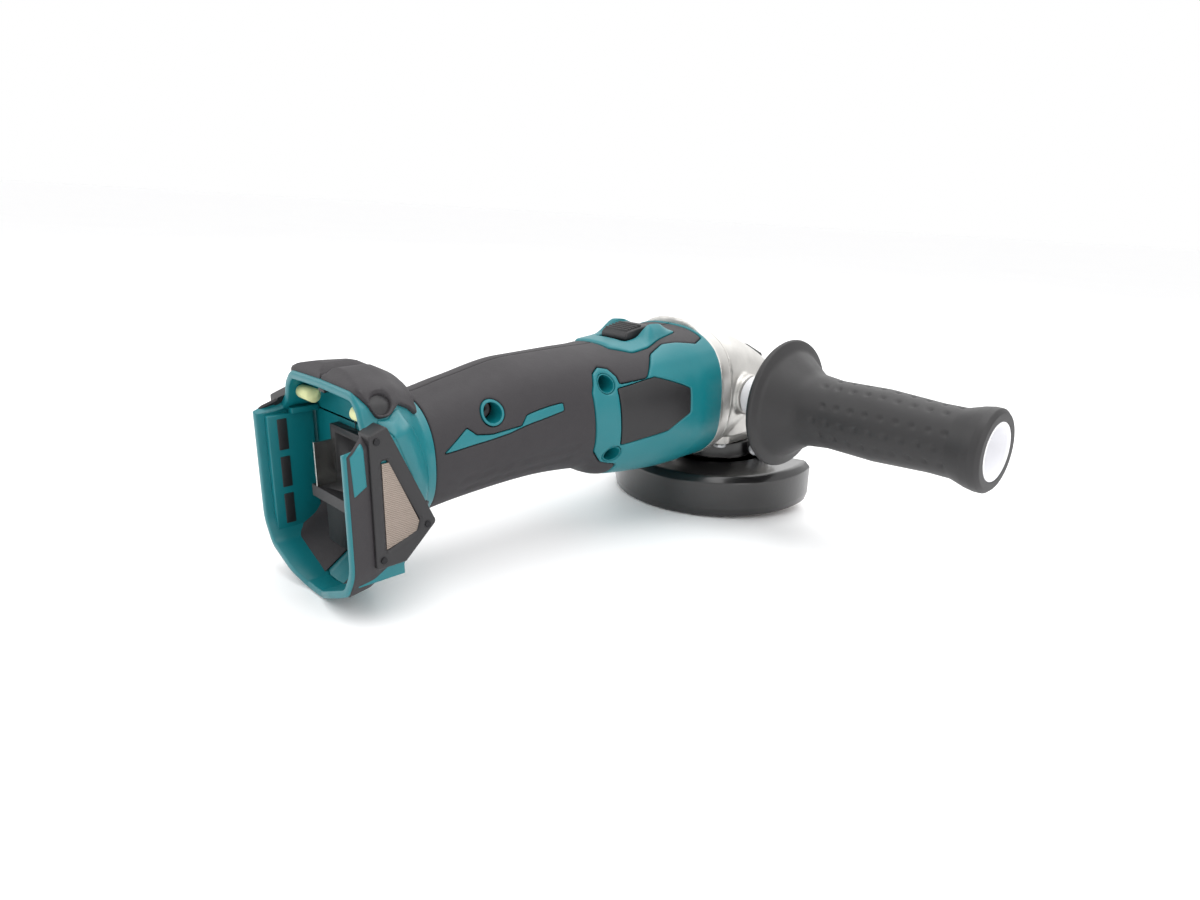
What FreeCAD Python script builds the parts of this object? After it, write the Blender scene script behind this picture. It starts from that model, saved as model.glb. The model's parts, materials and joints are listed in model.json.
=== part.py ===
import FreeCAD, Part
import Sketcher
import math
import os
import re

from FreeCAD import Placement, Rotation, Vector

# Cordless angle grinder with a 105 mm wheel, shown without its battery.
# Row frame in millimetres: +X to the side handle, +Y from the grip to the gear head, +Z up.
# The origin is on the spindle axis, in the middle of the thread's free end.

doc = FreeCAD.newDocument("angle_grinder")
sheet = doc.addObject("Spreadsheet::Sheet", "Sizes")

SIZES = {
    # spindle, wheel and flanges
    "thread_radius": 5.0, "free_end": 4.0, "thread_relief": 0.3, "thread_root": 4.6, "flange_seat": 5.5,
    "nut_flange": 3.5, "nut_radius": 15.0,
    "bore_radius": 8.0, "collar_slack": 0.1, "wheel_radius": 52.5, "wheel_thickness": 6.0,
    "hub_radius": 21.0, "hub_thickness": 5.0, "hub_depth": 6.0, "flange_radius": 15.0,
    "flange_height": 6.5, "journal_radius": 6.0, "shoulder_radius": 8.0, "top_journal": 4.0,
    # guard
    "guard_radius": 58.5, "rim_radius": 55.0, "sheet_metal": 1.6, "guard_top": 19.8,
    "guard_rim": -3.0, "collar_radius": 21.0, "collar_fit": 0.1, "collar_wall": 2.2,
    "collar_top": 29.0, "guard_turned": 19.0, "guard_wrap": 180.0,
    # gear head
    "motor_height": 62.0, "gear_teeth": 38, "pinion_teeth": 10, "tooth_module": 1.25,
    "tooth_face": 7.0, "lower_race": 16.0, "race_width": 10.0, "box_floor": 17.4,
    "race_base": 20.0, "plate_base": 31.0, "head_base": 36.0, "plate_half": 26.0,
    "plate_screws": 20.5, "cover_back": -43.0, "cover_front": -34.0, "head_front": 36.0,
    "head_half": 37.5, "head_rise": 36.0, "handle_setback": -21.0, "boss_reach": 40.0,
    "boss_radius": 11.0, "handle_thread": 4.0, "thread_depth": 14.0,
    # motor
    "shaft_radius": 4.0, "shaft_front": -13.5, "shaft_back": -112.0, "motor_race": 11.0,
    "race_depth": 7.0, "rear_race": 9.5, "stator_radius": 25.5, "stator_front": -64.0,
    "stator_length": 28.0, "rotor_radius": 13.0, "air_gap": 0.6, "fan_radius": 28.0,
    "fan_front": -46.5, "fan_depth": 9.0,
    # side handle
    "handle_gap": 0.3, "core_radius": 10.5, "grip_radius": 17.2, "handle_flange": 33.2,
    "flange_at": 62.5, "handle_end": 171.8, "flare_radius": 19.2, "cup_radius": 12.0,
    "cup_depth": 24.0, "core_wall": 1.4,
    # body shells
    "wall": 2.6, "skin": 1.5, "grip_front": -123.0, "neck": -212.0, "seam": 0.05,
    # battery end
    "arch_plane": -245.6, "wing_plane": -257.0, "bay_floor": -231.0, "frame_half": 39.5,
    "frame_wall": 3.4, "arch_top": 96.0, "wing_top": 79.0, "frame_tip": 8.0,
    # slide switch
    "switch_travel": 6.5, "knob_back": -87.0, "knob_front": -62.0, "knob_half": 9.0,
}
for row, (alias, value) in enumerate(SIZES.items(), start=1):
    sheet.set(f"A{row}", alias)
    sheet.set(f"B{row}", str(value))
    sheet.setAlias(f"B{row}", alias)
doc.recompute()

subparts = []


def size(alias):
    """The value of one driving dimension."""
    return float(sheet.get(alias))


def bound(text):
    """An expression in bare aliases, turned into one that reads the sheet."""
    return re.sub(r"[a-z][a-z_]+", lambda m: "Sizes." + m.group(0) if m.group(0) in SIZES else m.group(0), str(text))


def value_of(text):
    """The number that an expression in bare aliases stands for."""
    result = sheet.evalExpression(re.sub(r"Sizes\.", "", bound(text)))
    return float(result)


def place(piece, at, turn=Rotation()):
    """Puts a sub-part at three expressions, turned by a rotation."""
    piece.Placement = Placement(Vector(*[value_of(t) for t in at]), turn)
    for axis, text in zip("xyz", at):
        piece.setExpression(f"Placement.Base.{axis}", bound(text))


def finish(piece, label):
    """Names a sub-part, so that it is checked and written at the end."""
    piece.Label = label
    subparts.append(piece)
    return piece


def origin_plane(body, role):
    return next(f for f in body.Origin.OriginFeatures if f.Role == role)


def polygon_sketch(body, role, points, name):
    """A closed polygon whose corners are bound to the sheet."""
    sketch = body.newObject("Sketcher::SketchObject", name)
    sketch.AttachmentSupport = [(origin_plane(body, role), "")]
    sketch.MapMode = "FlatFace"
    corners = [Vector(value_of(a), value_of(b), 0) for a, b in points]
    count = len(corners)
    for i in range(count):
        sketch.addGeometry(Part.LineSegment(corners[i], corners[(i + 1) % count]), False)
    for i in range(count):
        sketch.addConstraint(Sketcher.Constraint("Coincident", i, 2, (i + 1) % count, 1))
    for i, pair in enumerate(points):
        for kind, text, axis in (("DistanceX", pair[0], -2), ("DistanceY", pair[1], -1)):
            if str(text) == "0":
                sketch.addConstraint(Sketcher.Constraint("PointOnObject", i, 1, axis))
            else:
                index = sketch.addConstraint(Sketcher.Constraint(kind, -1, 1, i, 1, value_of(text)))
                sketch.setExpression(f"Constraints[{index}]", bound(text))
    return sketch


def turned(label, points, at, turn=Rotation(), angle=360.0):
    """A body revolved about its own Z axis from (radius, height) corners."""
    body = doc.addObject("PartDesign::Body", label + "_body")
    sketch = polygon_sketch(body, "XZ_Plane", points, label + "_profile")
    spin = body.newObject("PartDesign::Revolution", label + "_turn")
    spin.Profile = sketch
    spin.ReferenceAxis = (sketch, ["V_Axis"])
    spin.Angle = angle
    body.Tip = spin
    place(body, at, turn)
    return finish(body, label)


along_x = Rotation(Vector(0, 0, 1), Vector(1, 0, 0))
along_y = Rotation(Vector(0, 0, 1), Vector(0, 1, 0))


def shape_part(label, shape):
    """A sub-part whose shape is worked out by Part's own functions."""
    if isinstance(shape, list):
        shape = Part.makeCompound(shape)
    piece = doc.addObject("Part::Feature", label)
    piece.Shape = shape
    return finish(piece, label)


def cylinder(radius, length, at, axis):
    return Part.makeCylinder(radius, length, Vector(*at), Vector(*axis))


def ring(outer, inner, length, at, axis):
    return cylinder(outer, length, at, axis).cut(cylinder(inner, length, at, axis))


def box(low, high):
    size_xyz = [b - a for a, b in zip(low, high)]
    return Part.makeBox(*size_xyz, Vector(*low))


def prism(points, direction):
    """A polygon given by 3-D corners, pushed along a vector."""
    wire = Part.makePolygon([Vector(*p) for p in points] + [Vector(*points[0])])
    return Part.Face(wire).extrude(Vector(*direction))


def side_prism(outline, low, high):
    """A side-view (y, z) outline, extruded from x = low to x = high."""
    return prism([(low, y, z) for y, z in outline], (high - low, 0, 0))


def mirrored(shape):
    return shape.mirror(Vector(0, 0, 0), Vector(1, 0, 0))


def hex_head(radius, length, at, axis):
    """A hexagonal prism whose corners lie on the given radius."""
    corners = [Vector(radius * math.cos(k * math.pi / 3), radius * math.sin(k * math.pi / 3), 0) for k in range(7)]
    prism_shape = Part.Face(Part.makePolygon(corners)).extrude(Vector(0, 0, length))
    prism_shape.Placement = Placement(Vector(*at), Rotation(Vector(0, 0, 1), Vector(*axis)))
    return prism_shape


def screw(radius, length, head_radius, head_height, at, axis):
    """A pan-head screw with a cross recess; at is the underside of its head."""
    direction = Vector(*axis)
    base = Vector(*at)
    shank = Part.makeCylinder(radius, length, base, direction)
    head = Part.makeCylinder(head_radius, head_height, base - direction * head_height, direction)
    recess = Part.makeBox(head_radius * 1.1, head_radius * 0.3, head_height * 0.6)
    recess.translate(Vector(-head_radius * 0.55, -head_radius * 0.15, 0))
    cross = recess.fuse(recess.rotated(Vector(), Vector(0, 0, 1), 90))
    cross.Placement = Placement(base - direction * head_height, Rotation(Vector(0, 0, 1), direction))
    return shank.fuse(head).cut(cross)


# ---------------------------------------------------------------- spindle and wheel
def spindle_group():
    nut_face = "free_end / 2"
    seat = "free_end / 2 + nut_flange"
    hub_top = seat + " + hub_thickness"
    shoulder = hub_top + " + flange_height"
    gear_top = "motor_height - 8"
    turned("spindle", [
        ("0", "0"), ("thread_radius - 0.8", "0"), ("thread_radius", "0.8"),
        ("thread_radius", "free_end - thread_relief"),
        ("thread_root", "free_end - thread_relief"),
        ("thread_root", hub_top + " + free_end / 2 - 1"),
        ("flange_seat", hub_top + " + free_end / 2 - 1"),
        ("flange_seat", shoulder + " + free_end / 2"),
        ("shoulder_radius", shoulder + " + free_end / 2"),
        ("shoulder_radius", "race_base + free_end / 2"),
        ("journal_radius", "race_base + free_end / 2"),
        ("journal_radius", gear_top + " + free_end / 2"),
        ("top_journal", gear_top + " + free_end / 2"),
        ("top_journal", "motor_height + 14 + free_end / 2"),
        ("0", "motor_height + 14 + free_end / 2")],
        ("0", "0", "-free_end / 2"))
    turned("inner_flange", [
        ("flange_seat + 0.02", "0"), ("bore_radius - collar_slack", "0"),
        ("bore_radius - collar_slack", "2"), ("nut_radius - 4", "2"), ("nut_radius - 4", "2.5"),
        ("nut_radius - 3", "2.5"), ("nut_radius - 3", "2"),
        ("flange_radius", "2"), ("flange_radius", "5"), ("flange_radius - 3", "flange_height + 2"),
        ("flange_seat + 0.02", "flange_height + 2")],
        ("0", "0", hub_top + " - 2"))
    turned("grinding_wheel", [
        ("bore_radius", "hub_depth"), ("hub_radius - 1", "hub_depth"), ("hub_radius + 5", "0"),
        ("wheel_radius", "0"), ("wheel_radius", "wheel_thickness"),
        ("hub_radius + 8", "wheel_thickness"),
        ("hub_radius + 3", "hub_depth + hub_thickness"), ("bore_radius", "hub_depth + hub_thickness")],
        ("0", "0", seat + " - hub_depth"))
    nut = turned("lock_nut", [
        ("thread_root + 0.02", "0"), ("nut_radius - 1", "0"), ("nut_radius", "1"),
        ("nut_radius", "nut_flange"), ("bore_radius - collar_slack", "nut_flange"),
        ("bore_radius - collar_slack", "nut_flange + 2.6"),
        ("thread_root + 0.02", "nut_flange + 2.6")],
        ("0", "0", nut_face))
    holes = polygon_sketch(nut, "XY_Plane", [
        ("nut_radius - 5", "-1.6"), ("nut_radius - 1.8", "-1.6"),
        ("nut_radius - 1.8", "1.6"), ("nut_radius - 5", "1.6")], "nut_slots")
    pocket = nut.newObject("PartDesign::Pocket", "nut_slot")
    pocket.Profile = holes
    pocket.Length = 2.4
    pocket.Reversed = True
    around = nut.newObject("PartDesign::PolarPattern", "nut_slot_pair")
    around.Originals = [pocket]
    around.Axis = (holes, ["N_Axis"])
    around.Angle = 360
    around.Occurrences = 4
    nut.Tip = around
    return nut


# ---------------------------------------------------------------- bevel gears
def involute(angle):
    return math.tan(angle) - angle


def tooth_outline(teeth, module, cone, backlash):
    """Half widths and heights of one tooth on the back cone, from its root to its tip."""
    radius = teeth * module / 2 / math.cos(cone)
    base = radius * math.cos(math.radians(20))
    rise, drop = 0.85 * module, 1.15 * module
    half = math.pi / 2 * math.cos(cone) / teeth * (1 - backlash)
    flank = []
    for k in range(6):
        r = radius - drop + (rise + drop) * k / 5
        pressure = math.acos(min(1.0, base / r))
        spread = half + involute(math.radians(20)) - involute(pressure)
        flank.append((r * math.sin(spread), r * math.cos(spread) - radius))
    return flank


def bevel_teeth(teeth, mate, backlash, phase):
    """Straight bevel teeth about +Z with the cone's apex at the origin, opening downwards."""
    module = size("tooth_module")
    cone = math.atan2(teeth, mate)
    reach = teeth * module / 2 / math.sin(cone)
    inner = (reach - size("tooth_face")) / reach
    along = Vector(math.sin(cone), 0, -math.cos(cone))
    outward = Vector(math.cos(cone), 0, math.sin(cone))
    flank = tooth_outline(teeth, module, cone, backlash)
    flank = [(flank[0][0], flank[0][1] - 0.3 * module)] + flank
    wires = []
    for scale in (1.0, inner):
        ring_points = [(u, v) for u, v in flank] + [(-u, v) for u, v in reversed(flank)]
        corners = [along * (reach * scale) + Vector(0, u * scale, 0) + outward * (v * scale) for u, v in ring_points]
        wires.append(Part.makePolygon(corners + corners[:1]))
    tooth = Part.makeLoft(wires, True, True)
    turn = [tooth.rotated(Vector(), Vector(0, 0, 1), phase + 360.0 * k / teeth) for k in range(teeth)]
    return turn, cone, reach, inner, along, outward


def blank(corners):
    """A turned blank from (radius, height) corners."""
    points = [Vector(r, 0, z) for r, z in corners]
    face = Part.Face(Part.makePolygon(points + points[:1]))
    return face.revolve(Vector(), Vector(0, 0, 1), 360)


def gear_pair():
    gear_count, pinion_count = int(size("gear_teeth")), int(size("pinion_teeth"))
    module = size("tooth_module")
    drop = 1.15 * module
    height = size("motor_height")
    # driven gear, its teeth facing up, one tooth centred towards the motor
    teeth, cone, reach, inner, along, outward = bevel_teeth(gear_count, pinion_count, 0.12, -90)
    back = along * reach - outward * drop
    front = along * (reach * inner) - outward * (drop * inner)
    bore = size("journal_radius")
    web = back.z - 3.4
    body = blank([(bore, front.z), (front.x, front.z), (back.x, back.z), (back.x - 0.6, web),
                  (bore + 6, web), (bore + 6, -size("motor_height") + size("head_base") + 4),
                  (bore, -size("motor_height") + size("head_base") + 4)])
    gear = body.multiFuse(teeth).removeSplitter()
    pin_holes = [cylinder(2.9, 40, (12.6 * math.cos(a), 12.6 * math.sin(a), -30), (0, 0, 1))
                 for a in (math.pi / 2 + k * math.pi / 2 for k in range(4))]
    gear = gear.cut(Part.makeCompound(pin_holes))
    gear.translate(Vector(0, 0, height))
    shape_part("bevel_gear", gear)
    # driving pinion on the motor shaft, a tooth gap facing the driven gear
    teeth, cone, reach, inner, along, outward = bevel_teeth(pinion_count, gear_count, 0.12,
                                                            90 + 180.0 / pinion_count)
    back = along * reach - outward * drop
    front = along * (reach * inner) - outward * (drop * inner)
    bore = size("shaft_radius") - 1.5
    body = blank([(bore, front.z), (front.x, front.z), (back.x, back.z), (back.x, back.z - 1.5),
                  (7.2, back.z - 1.5), (7.2, back.z - 4), (bore, back.z - 4)])
    pinion = body.multiFuse(teeth).removeSplitter()
    # this turn brings local +Y, where the tooth gap is, down onto the driven gear
    pinion.rotate(Vector(), Vector(1, 0, 0), -90)
    pinion.translate(Vector(0, 0, height))
    shape_part("pinion", pinion)


# ---------------------------------------------------------------- bearings
def ball_bearing(name, bore, outer, width, at, axis):
    """Inner ring, outer ring and the balls between them, as three sub-parts."""
    direction = Vector(*axis)
    centre = Vector(*at) + direction * (width / 2)
    middle = (bore + outer) / 2
    ball = (outer - bore) * 0.27
    inner_land = middle - ball * 0.62
    outer_land = middle + ball * 0.62
    groove = Part.makeTorus(middle, ball + 0.05, centre, direction)
    shape_part(name + "_inner_ring", ring(inner_land, bore, width, at, axis).cut(groove))
    shape_part(name + "_outer_ring", ring(outer, outer_land, width, at, axis).cut(groove))
    side = direction.cross(Vector(1, 0, 0) if abs(direction.x) < 0.5 else Vector(0, 0, 1))
    count = int(2 * math.pi * middle / (ball * 2.6))
    balls = []
    for k in range(count):
        spoke = Rotation(direction, 360.0 * k / count).multVec(side) * middle
        balls.append(Part.makeSphere(ball - 0.03, centre + spoke))
    shape_part(name + "_balls", balls)


def bearings():
    spindle = (0, 0, 1)
    motor = (0, 1, 0)
    high = size("motor_height")
    ball_bearing("spindle_bearing", size("journal_radius"), size("lower_race"), size("race_width"),
                 (0, 0, size("race_base")), spindle)
    ball_bearing("front_bearing", size("shaft_radius"), size("motor_race"), size("race_depth"),
                 (0, size("cover_front") - 1 - size("race_depth"), high), motor)
    ball_bearing("rear_bearing", size("shaft_radius"), size("rear_race"), 6.0,
                 (0, size("shaft_back") + 2, high), motor)
    shape_part("top_bearing", ring(6.0, size("top_journal") + 0.03, 9.0, (0, 0, high + 5.5), spindle))


# ---------------------------------------------------------------- motor
def motor_group():
    high = size("motor_height")
    back, front = size("shaft_back"), size("shaft_front")
    thin = size("shaft_radius") - 1.5
    step = size("cover_front") + 5.5
    shaft = cylinder(size("shaft_radius"), step - back, (0, back, high), (0, 1, 0))
    shaft = shaft.fuse(cylinder(thin, front - step, (0, step, high), (0, 1, 0)))
    shape_part("rotor_shaft", shaft.removeSplitter())
    start = size("stator_front") - size("stator_length")
    core = ring(size("rotor_radius") - size("air_gap"), size("shaft_radius"), size("stator_length"),
                (0, start, high), (0, 1, 0))
    shape_part("rotor_core", core)
    # stator: ring and six wound teeth
    length = size("stator_length")
    outer = size("stator_radius")
    yoke = ring(outer, outer - 4.5, length, (0, start, high), (0, 1, 0))
    poles = []
    coils = []
    for k in range(6):
        pole = box((-2.6, start, size("rotor_radius")), (2.6, start + length, outer - 4))
        shoe = box((-5.2, start, size("rotor_radius")), (5.2, start + length, size("rotor_radius") + 2))
        pole = pole.fuse(shoe)
        coil = box((-5.4, start - 3, size("rotor_radius") + 2.6), (5.4, start + length + 3, outer - 5))
        coil = coil.cut(box((-2.7, start - 0.1, 0), (2.7, start + length + 0.1, outer)))
        for item, group in ((pole, poles), (coil, coils)):
            turned_item = item.rotated(Vector(), Vector(0, 1, 0), 60.0 * k)
            turned_item.translate(Vector(0, 0, high))
            group.append(turned_item)
    bore = cylinder(size("rotor_radius"), length, (0, start, high), (0, 1, 0))
    shape_part("stator", yoke.multiFuse(poles).cut(bore).removeSplitter())
    shape_part("stator_coils", [c.cut(ring(40, outer - 5.2, length + 8, (0, start - 4, high), (0, 1, 0))) for c in coils])
    # fan: hub, back plate and curved blades
    depth = size("fan_depth")
    fan_back = size("fan_front") - depth
    hub = ring(7.5, size("shaft_radius"), depth, (0, fan_back, high), (0, 1, 0))
    plate = ring(size("fan_radius"), size("shaft_radius"), 1.4, (0, size("fan_front") - 1.4, high), (0, 1, 0))
    blades = []
    for k in range(11):
        blade = box((-0.6, fan_back, 9), (0.6, size("fan_front") - 1, size("fan_radius") - 0.5))
        blade = blade.rotated(Vector(0, 0, 9), Vector(0, 1, 0), 28)
        blade = blade.rotated(Vector(), Vector(0, 1, 0), 360.0 * k / 11)
        blade.translate(Vector(0, 0, high))
        blades.append(blade)
    within = cylinder(size("fan_radius"), depth, (0, fan_back, high), (0, 1, 0))
    shape_part("fan", hub.multiFuse([plate] + blades).common(within).removeSplitter())


# ---------------------------------------------------------------- lofted sections
def section(station, inset=0.0):
    """A closed superellipse in the plane y = station's first value."""
    y, low, top, half, power = station
    middle, rise, reach = (low + top) / 2, (top - low) / 2 - inset, half - inset
    points = []
    for k in range(28):
        t = 2 * math.pi * k / 28
        c, s = math.cos(t), math.sin(t)
        x = reach * math.copysign(abs(c) ** (2 / power), c)
        z = middle + rise * math.copysign(abs(s) ** (2 / power), s)
        points.append(Vector(x, y, z))
    curve = Part.BSplineCurve()
    curve.interpolate(points, PeriodicFlag=True)
    return Part.Wire([curve.toShape()])


def loft(stations, inset=0.0):
    return Part.makeLoft([section(s, inset) for s in stations], True, False)


# ---------------------------------------------------------------- gear head
def head_stations():
    high, half, rise = size("motor_height"), size("head_half"), size("head_rise")
    front = size("head_front")
    return [(size("cover_back"), high - rise, high + rise, half, 2.7),
            (size("cover_front"), high - rise + 1.5, high + rise - 0.5, half - 0.6, 2.7),
            (-20, high - rise + 5, high + rise - 3.5, half - 3, 2.6),
            (0, high - rise + 8, high + rise - 11, half - 6, 2.5),
            (15, high - rise + 11, high + rise - 18.5, half - 9.5, 2.4),
            (front - 8, high - 21, high + 9.5, half - 15.5, 2.3),
            (front, high - 17, high + 2.5, half - 22, 2.2)]


def handle_bosses(reach, radius):
    at_y, high = size("handle_setback"), size("motor_height")
    return cylinder(radius, 2 * reach, (-reach, at_y, high), (1, 0, 0))


def corner_spots(half_x, half_z):
    high = size("motor_height")
    return [(sx * half_x, high + sz * half_z) for sx in (-1, 1) for sz in (-1, 1)]


def gear_head():
    high, base = size("motor_height"), size("head_base")
    front, back = size("cover_front"), size("cover_back")
    outer = loft(head_stations())
    seat = size("boss_reach")
    lock_y = 12.6
    # one-piece housing in front of the cover
    shell = outer.common(box((-60, front, 0), (60, 60, 120)))
    shell = shell.fuse(handle_bosses(seat, size("boss_radius")))
    foot = box((-30, -28, base), (30, 31, base + 12))
    foot_edges = [e for e in foot.Edges if abs(e.Vertexes[0].Z - e.Vertexes[-1].Z) > 5]
    shell = shell.fuse(foot.makeFillet(10, foot_edges))
    shell = shell.cut(box((-60, -28, 0), (60, 60, base))).cut(box((-60, front - 0.1, 0), (60, -27.9, 30)))
    chamber = cylinder(size("plate_half") + 0.1, high - 2.5 - base, (0, 0, base), (0, 0, 1))
    tunnel = cylinder(9.5, -8 - front, (0, front, high), (0, 1, 0))
    register = cylinder(14.5, 2.2, (0, front, high), (0, 1, 0))
    bearing_seat = cylinder(6.0, 18, (0, 0, high - 3), (0, 0, 1))
    pocket = box((-10, 8.6, high + 1), (10, 29.6, high + 40))
    pocket = pocket.makeFillet(0.5, [e for e in pocket.Edges if abs(e.Vertexes[0].Z - e.Vertexes[-1].Z) > 5])
    pin_bore = cylinder(2.5, 20, (0, lock_y, high - 5), (0, 0, 1))
    sockets = [cylinder(size("handle_thread"), size("thread_depth"), (side * seat, size("handle_setback"), high),
                        (-side, 0, 0)) for side in (-1, 1)]
    plate_holes = [cylinder(2.0, 14, (x, y, base), (0, 0, 1))
                   for x in (-size("plate_screws"), size("plate_screws"))
                   for y in (-size("plate_screws"), size("plate_screws"))]
    back_holes = [cylinder(2.1, 14, (x, front, z), (0, 1, 0)) for x, z in corner_spots(22.5, 22.5)]
    shell = shell.cut(Part.makeCompound([chamber, tunnel, register, pin_bore]))
    for tool in [bearing_seat, pocket] + sockets + plate_holes + back_holes:
        shell = shell.cut(tool)
    shape_part("gear_housing", shell.removeSplitter())
    # cover plate that holds the motor's front bearing, with the rearward hood on top
    plate = outer.common(box((-60, back, 0), (60, front, 120)))
    bearing = cylinder(size("motor_race"), size("race_depth"), (0, front - 1 - size("race_depth"), high), (0, 1, 0))
    plate = plate.cut(bearing)
    plate = plate.cut(cylinder(size("motor_race") - 2, 20, (0, back - 5, high), (0, 1, 0)))
    plate = plate.cut(cylinder(7.6, 12, (0, front - 8, high), (0, 1, 0)))
    spigot = ring(14.4, 9.2, 2.0, (0, front, high), (0, 1, 0))
    plate = plate.fuse(spigot)
    for x, z in corner_spots(22.5, 22.5):
        plate = plate.cut(cylinder(2.1, 20, (x, back - 2, z), (0, 1, 0)))
    scoop = loft([(back - 3, 40, high + size("head_rise") + 4, size("head_half") - 8, 2.4),
                  (front, 40, high + size("head_rise") + 1.5, size("head_half") - 8, 2.4)])
    scoop = scoop.cut(loft(head_stations()[:2] + [(front + 5, 30, 95, 30, 2.6)]))
    scoop = scoop.common(box((-22, back, high + 20), (22, front, 120)))
    shape_part("gear_housing_cover", plate.fuse(scoop).removeSplitter())
    shape_part("gear_housing_screws", [screw(2.0, 19, 3.2, 2.4, (x, back, z), (0, 1, 0))
                                       for x, z in corner_spots(22.5, 22.5)])
    # bearing box under the gear chamber
    half = size("plate_half")
    plate_base, floor = size("plate_base"), size("box_floor")
    square = box((-half, -half, plate_base), (half, half, base))
    square = square.makeFillet(7, [e for e in square.Edges if abs(e.Vertexes[0].Z - e.Vertexes[-1].Z) > 2])
    collar = cylinder(size("collar_radius"), base - floor, (0, 0, floor), (0, 0, 1))
    rim = cylinder(half - 0.1, 2, (0, 0, base), (0, 0, 1))
    body = square.fuse(collar).fuse(rim)
    race_base, race_width = size("race_base"), size("race_width")
    body = body.cut(cylinder(size("lower_race"), 40, (0, 0, race_base), (0, 0, 1)))
    body = body.cut(cylinder(size("shoulder_radius") + 0.6, 40, (0, 0, 0), (0, 0, 1)))
    spots = [(x, y) for x in (-size("plate_screws"), size("plate_screws"))
             for y in (-size("plate_screws"), size("plate_screws"))]
    for x, y in spots:
        body = body.cut(cylinder(2.1, 20, (x, y, plate_base - 5), (0, 0, 1)))
    shape_part("bearing_box", body.removeSplitter())
    shape_part("bearing_box_screws", [screw(2.0, 15, 3.6, 2.4, (x, y, plate_base), (0, 0, 1)) for x, y in spots])
    shape_part("bearing_retainer", ring(size("lower_race"), 12.5, 2.0, (0, 0, race_base + race_width), (0, 0, 1)))
    # shaft lock: button, pin and return spring
    button = side_prism([(9.2, high + 9), (9.2, high + 19.5), (15, high + 19), (29, high + 12), (29, high + 9)], -9.4, 9.4)
    button = button.makeFillet(1.2, [e for e in button.Edges if e.BoundBox.ZMin > high + 10])
    button = button.cut(cylinder(2.4, 6, (0, lock_y, high + 8), (0, 0, 1)))
    shape_part("shaft_lock_button", button)
    shape_part("shaft_lock_pin", cylinder(2.4, 18.4, (0, lock_y, high - 4.4), (0, 0, 1)))
    helix = Part.makeHelix(1.45, 6.6, 3.6)
    wire_circle = Part.Wire([Part.makeCircle(0.4, Vector(3.6, 0, 0), Vector(0, 1, 0.06))])
    coil = Part.Wire(helix.Edges).makePipeShell([wire_circle], True, True)
    coil.translate(Vector(0, lock_y, high + 1.6))
    shape_part("shaft_lock_spring", coil)


# ---------------------------------------------------------------- wheel guard
def wheel_guard():
    outer, metal = size("guard_radius"), size("sheet_metal")
    top, rim = size("guard_top"), size("guard_rim")
    inner_collar = size("collar_radius") + size("collar_fit")
    outer_collar = inner_collar + size("collar_wall")
    lip = size("rim_radius")
    bend = 4.0
    profile = [(outer_collar - 0.5, top - metal), (outer - bend, top - metal), (outer - metal, top - bend),
               (outer - metal, rim + 4), (lip, rim + 1.0), (lip + 0.4, rim), (outer - 1.6, rim),
               (outer, rim + 4), (outer, top - bend), (outer - 1.2, top - 1.2), (outer - bend, top),
               (outer_collar - 0.5, top)]
    points = [Vector(r, 0, z) for r, z in profile]
    half = Part.Face(Part.makePolygon(points + points[:1])).revolve(Vector(), Vector(0, 0, 1), size("guard_wrap"))
    half = half.rotated(Vector(), Vector(0, 0, 1), -size("guard_wrap"))
    collar = ring(outer_collar, inner_collar, size("collar_top") - top + metal, (0, 0, top - metal), (0, 0, 1))
    apron = ring(outer_collar + 9, inner_collar, metal, (0, 0, top - metal), (0, 0, 1))
    lugs = []
    for low, high in ((-6.5, -1.0), (1.0, 6.5)):
        lug = box((outer_collar - 1.0, low, top + 1), (outer_collar + 9, high, size("collar_top") - 1.4))
        lugs.append(lug)
    guard = half.multiFuse([collar, apron] + lugs)
    guard = guard.cut(box((inner_collar - 2, -1.0, top), (outer_collar + 10, 1.0, size("collar_top") + 1)))
    middle = (top + size("collar_top")) / 2
    bolt_at = (outer_collar + 5, -8.5, middle)
    guard = guard.cut(cylinder(2.05, 30, (bolt_at[0], -15, middle), (0, 1, 0)))
    bolt = cylinder(2.0, 19, (bolt_at[0], -6.5, middle), (0, 1, 0)).fuse(
        cylinder(3.6, 3.2, (bolt_at[0], -9.7, middle), (0, 1, 0)))
    bolt = bolt.cut(hex_head(1.7, 2.2, (bolt_at[0], -9.7, middle), (0, 1, 0)))
    nut = hex_head(3.9, 3.0, (bolt_at[0], 6.5, middle), (0, 1, 0)).cut(
        cylinder(2.0, 5, (bolt_at[0], 6, middle), (0, 1, 0)))
    clamp = Part.makeCompound([bolt, nut])
    for label, shape in (("wheel_guard", guard.removeSplitter()), ("guard_clamp_bolt", clamp)):
        shape_part(label, shape.rotated(Vector(), Vector(0, 0, 1), size("guard_turned")))


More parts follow.
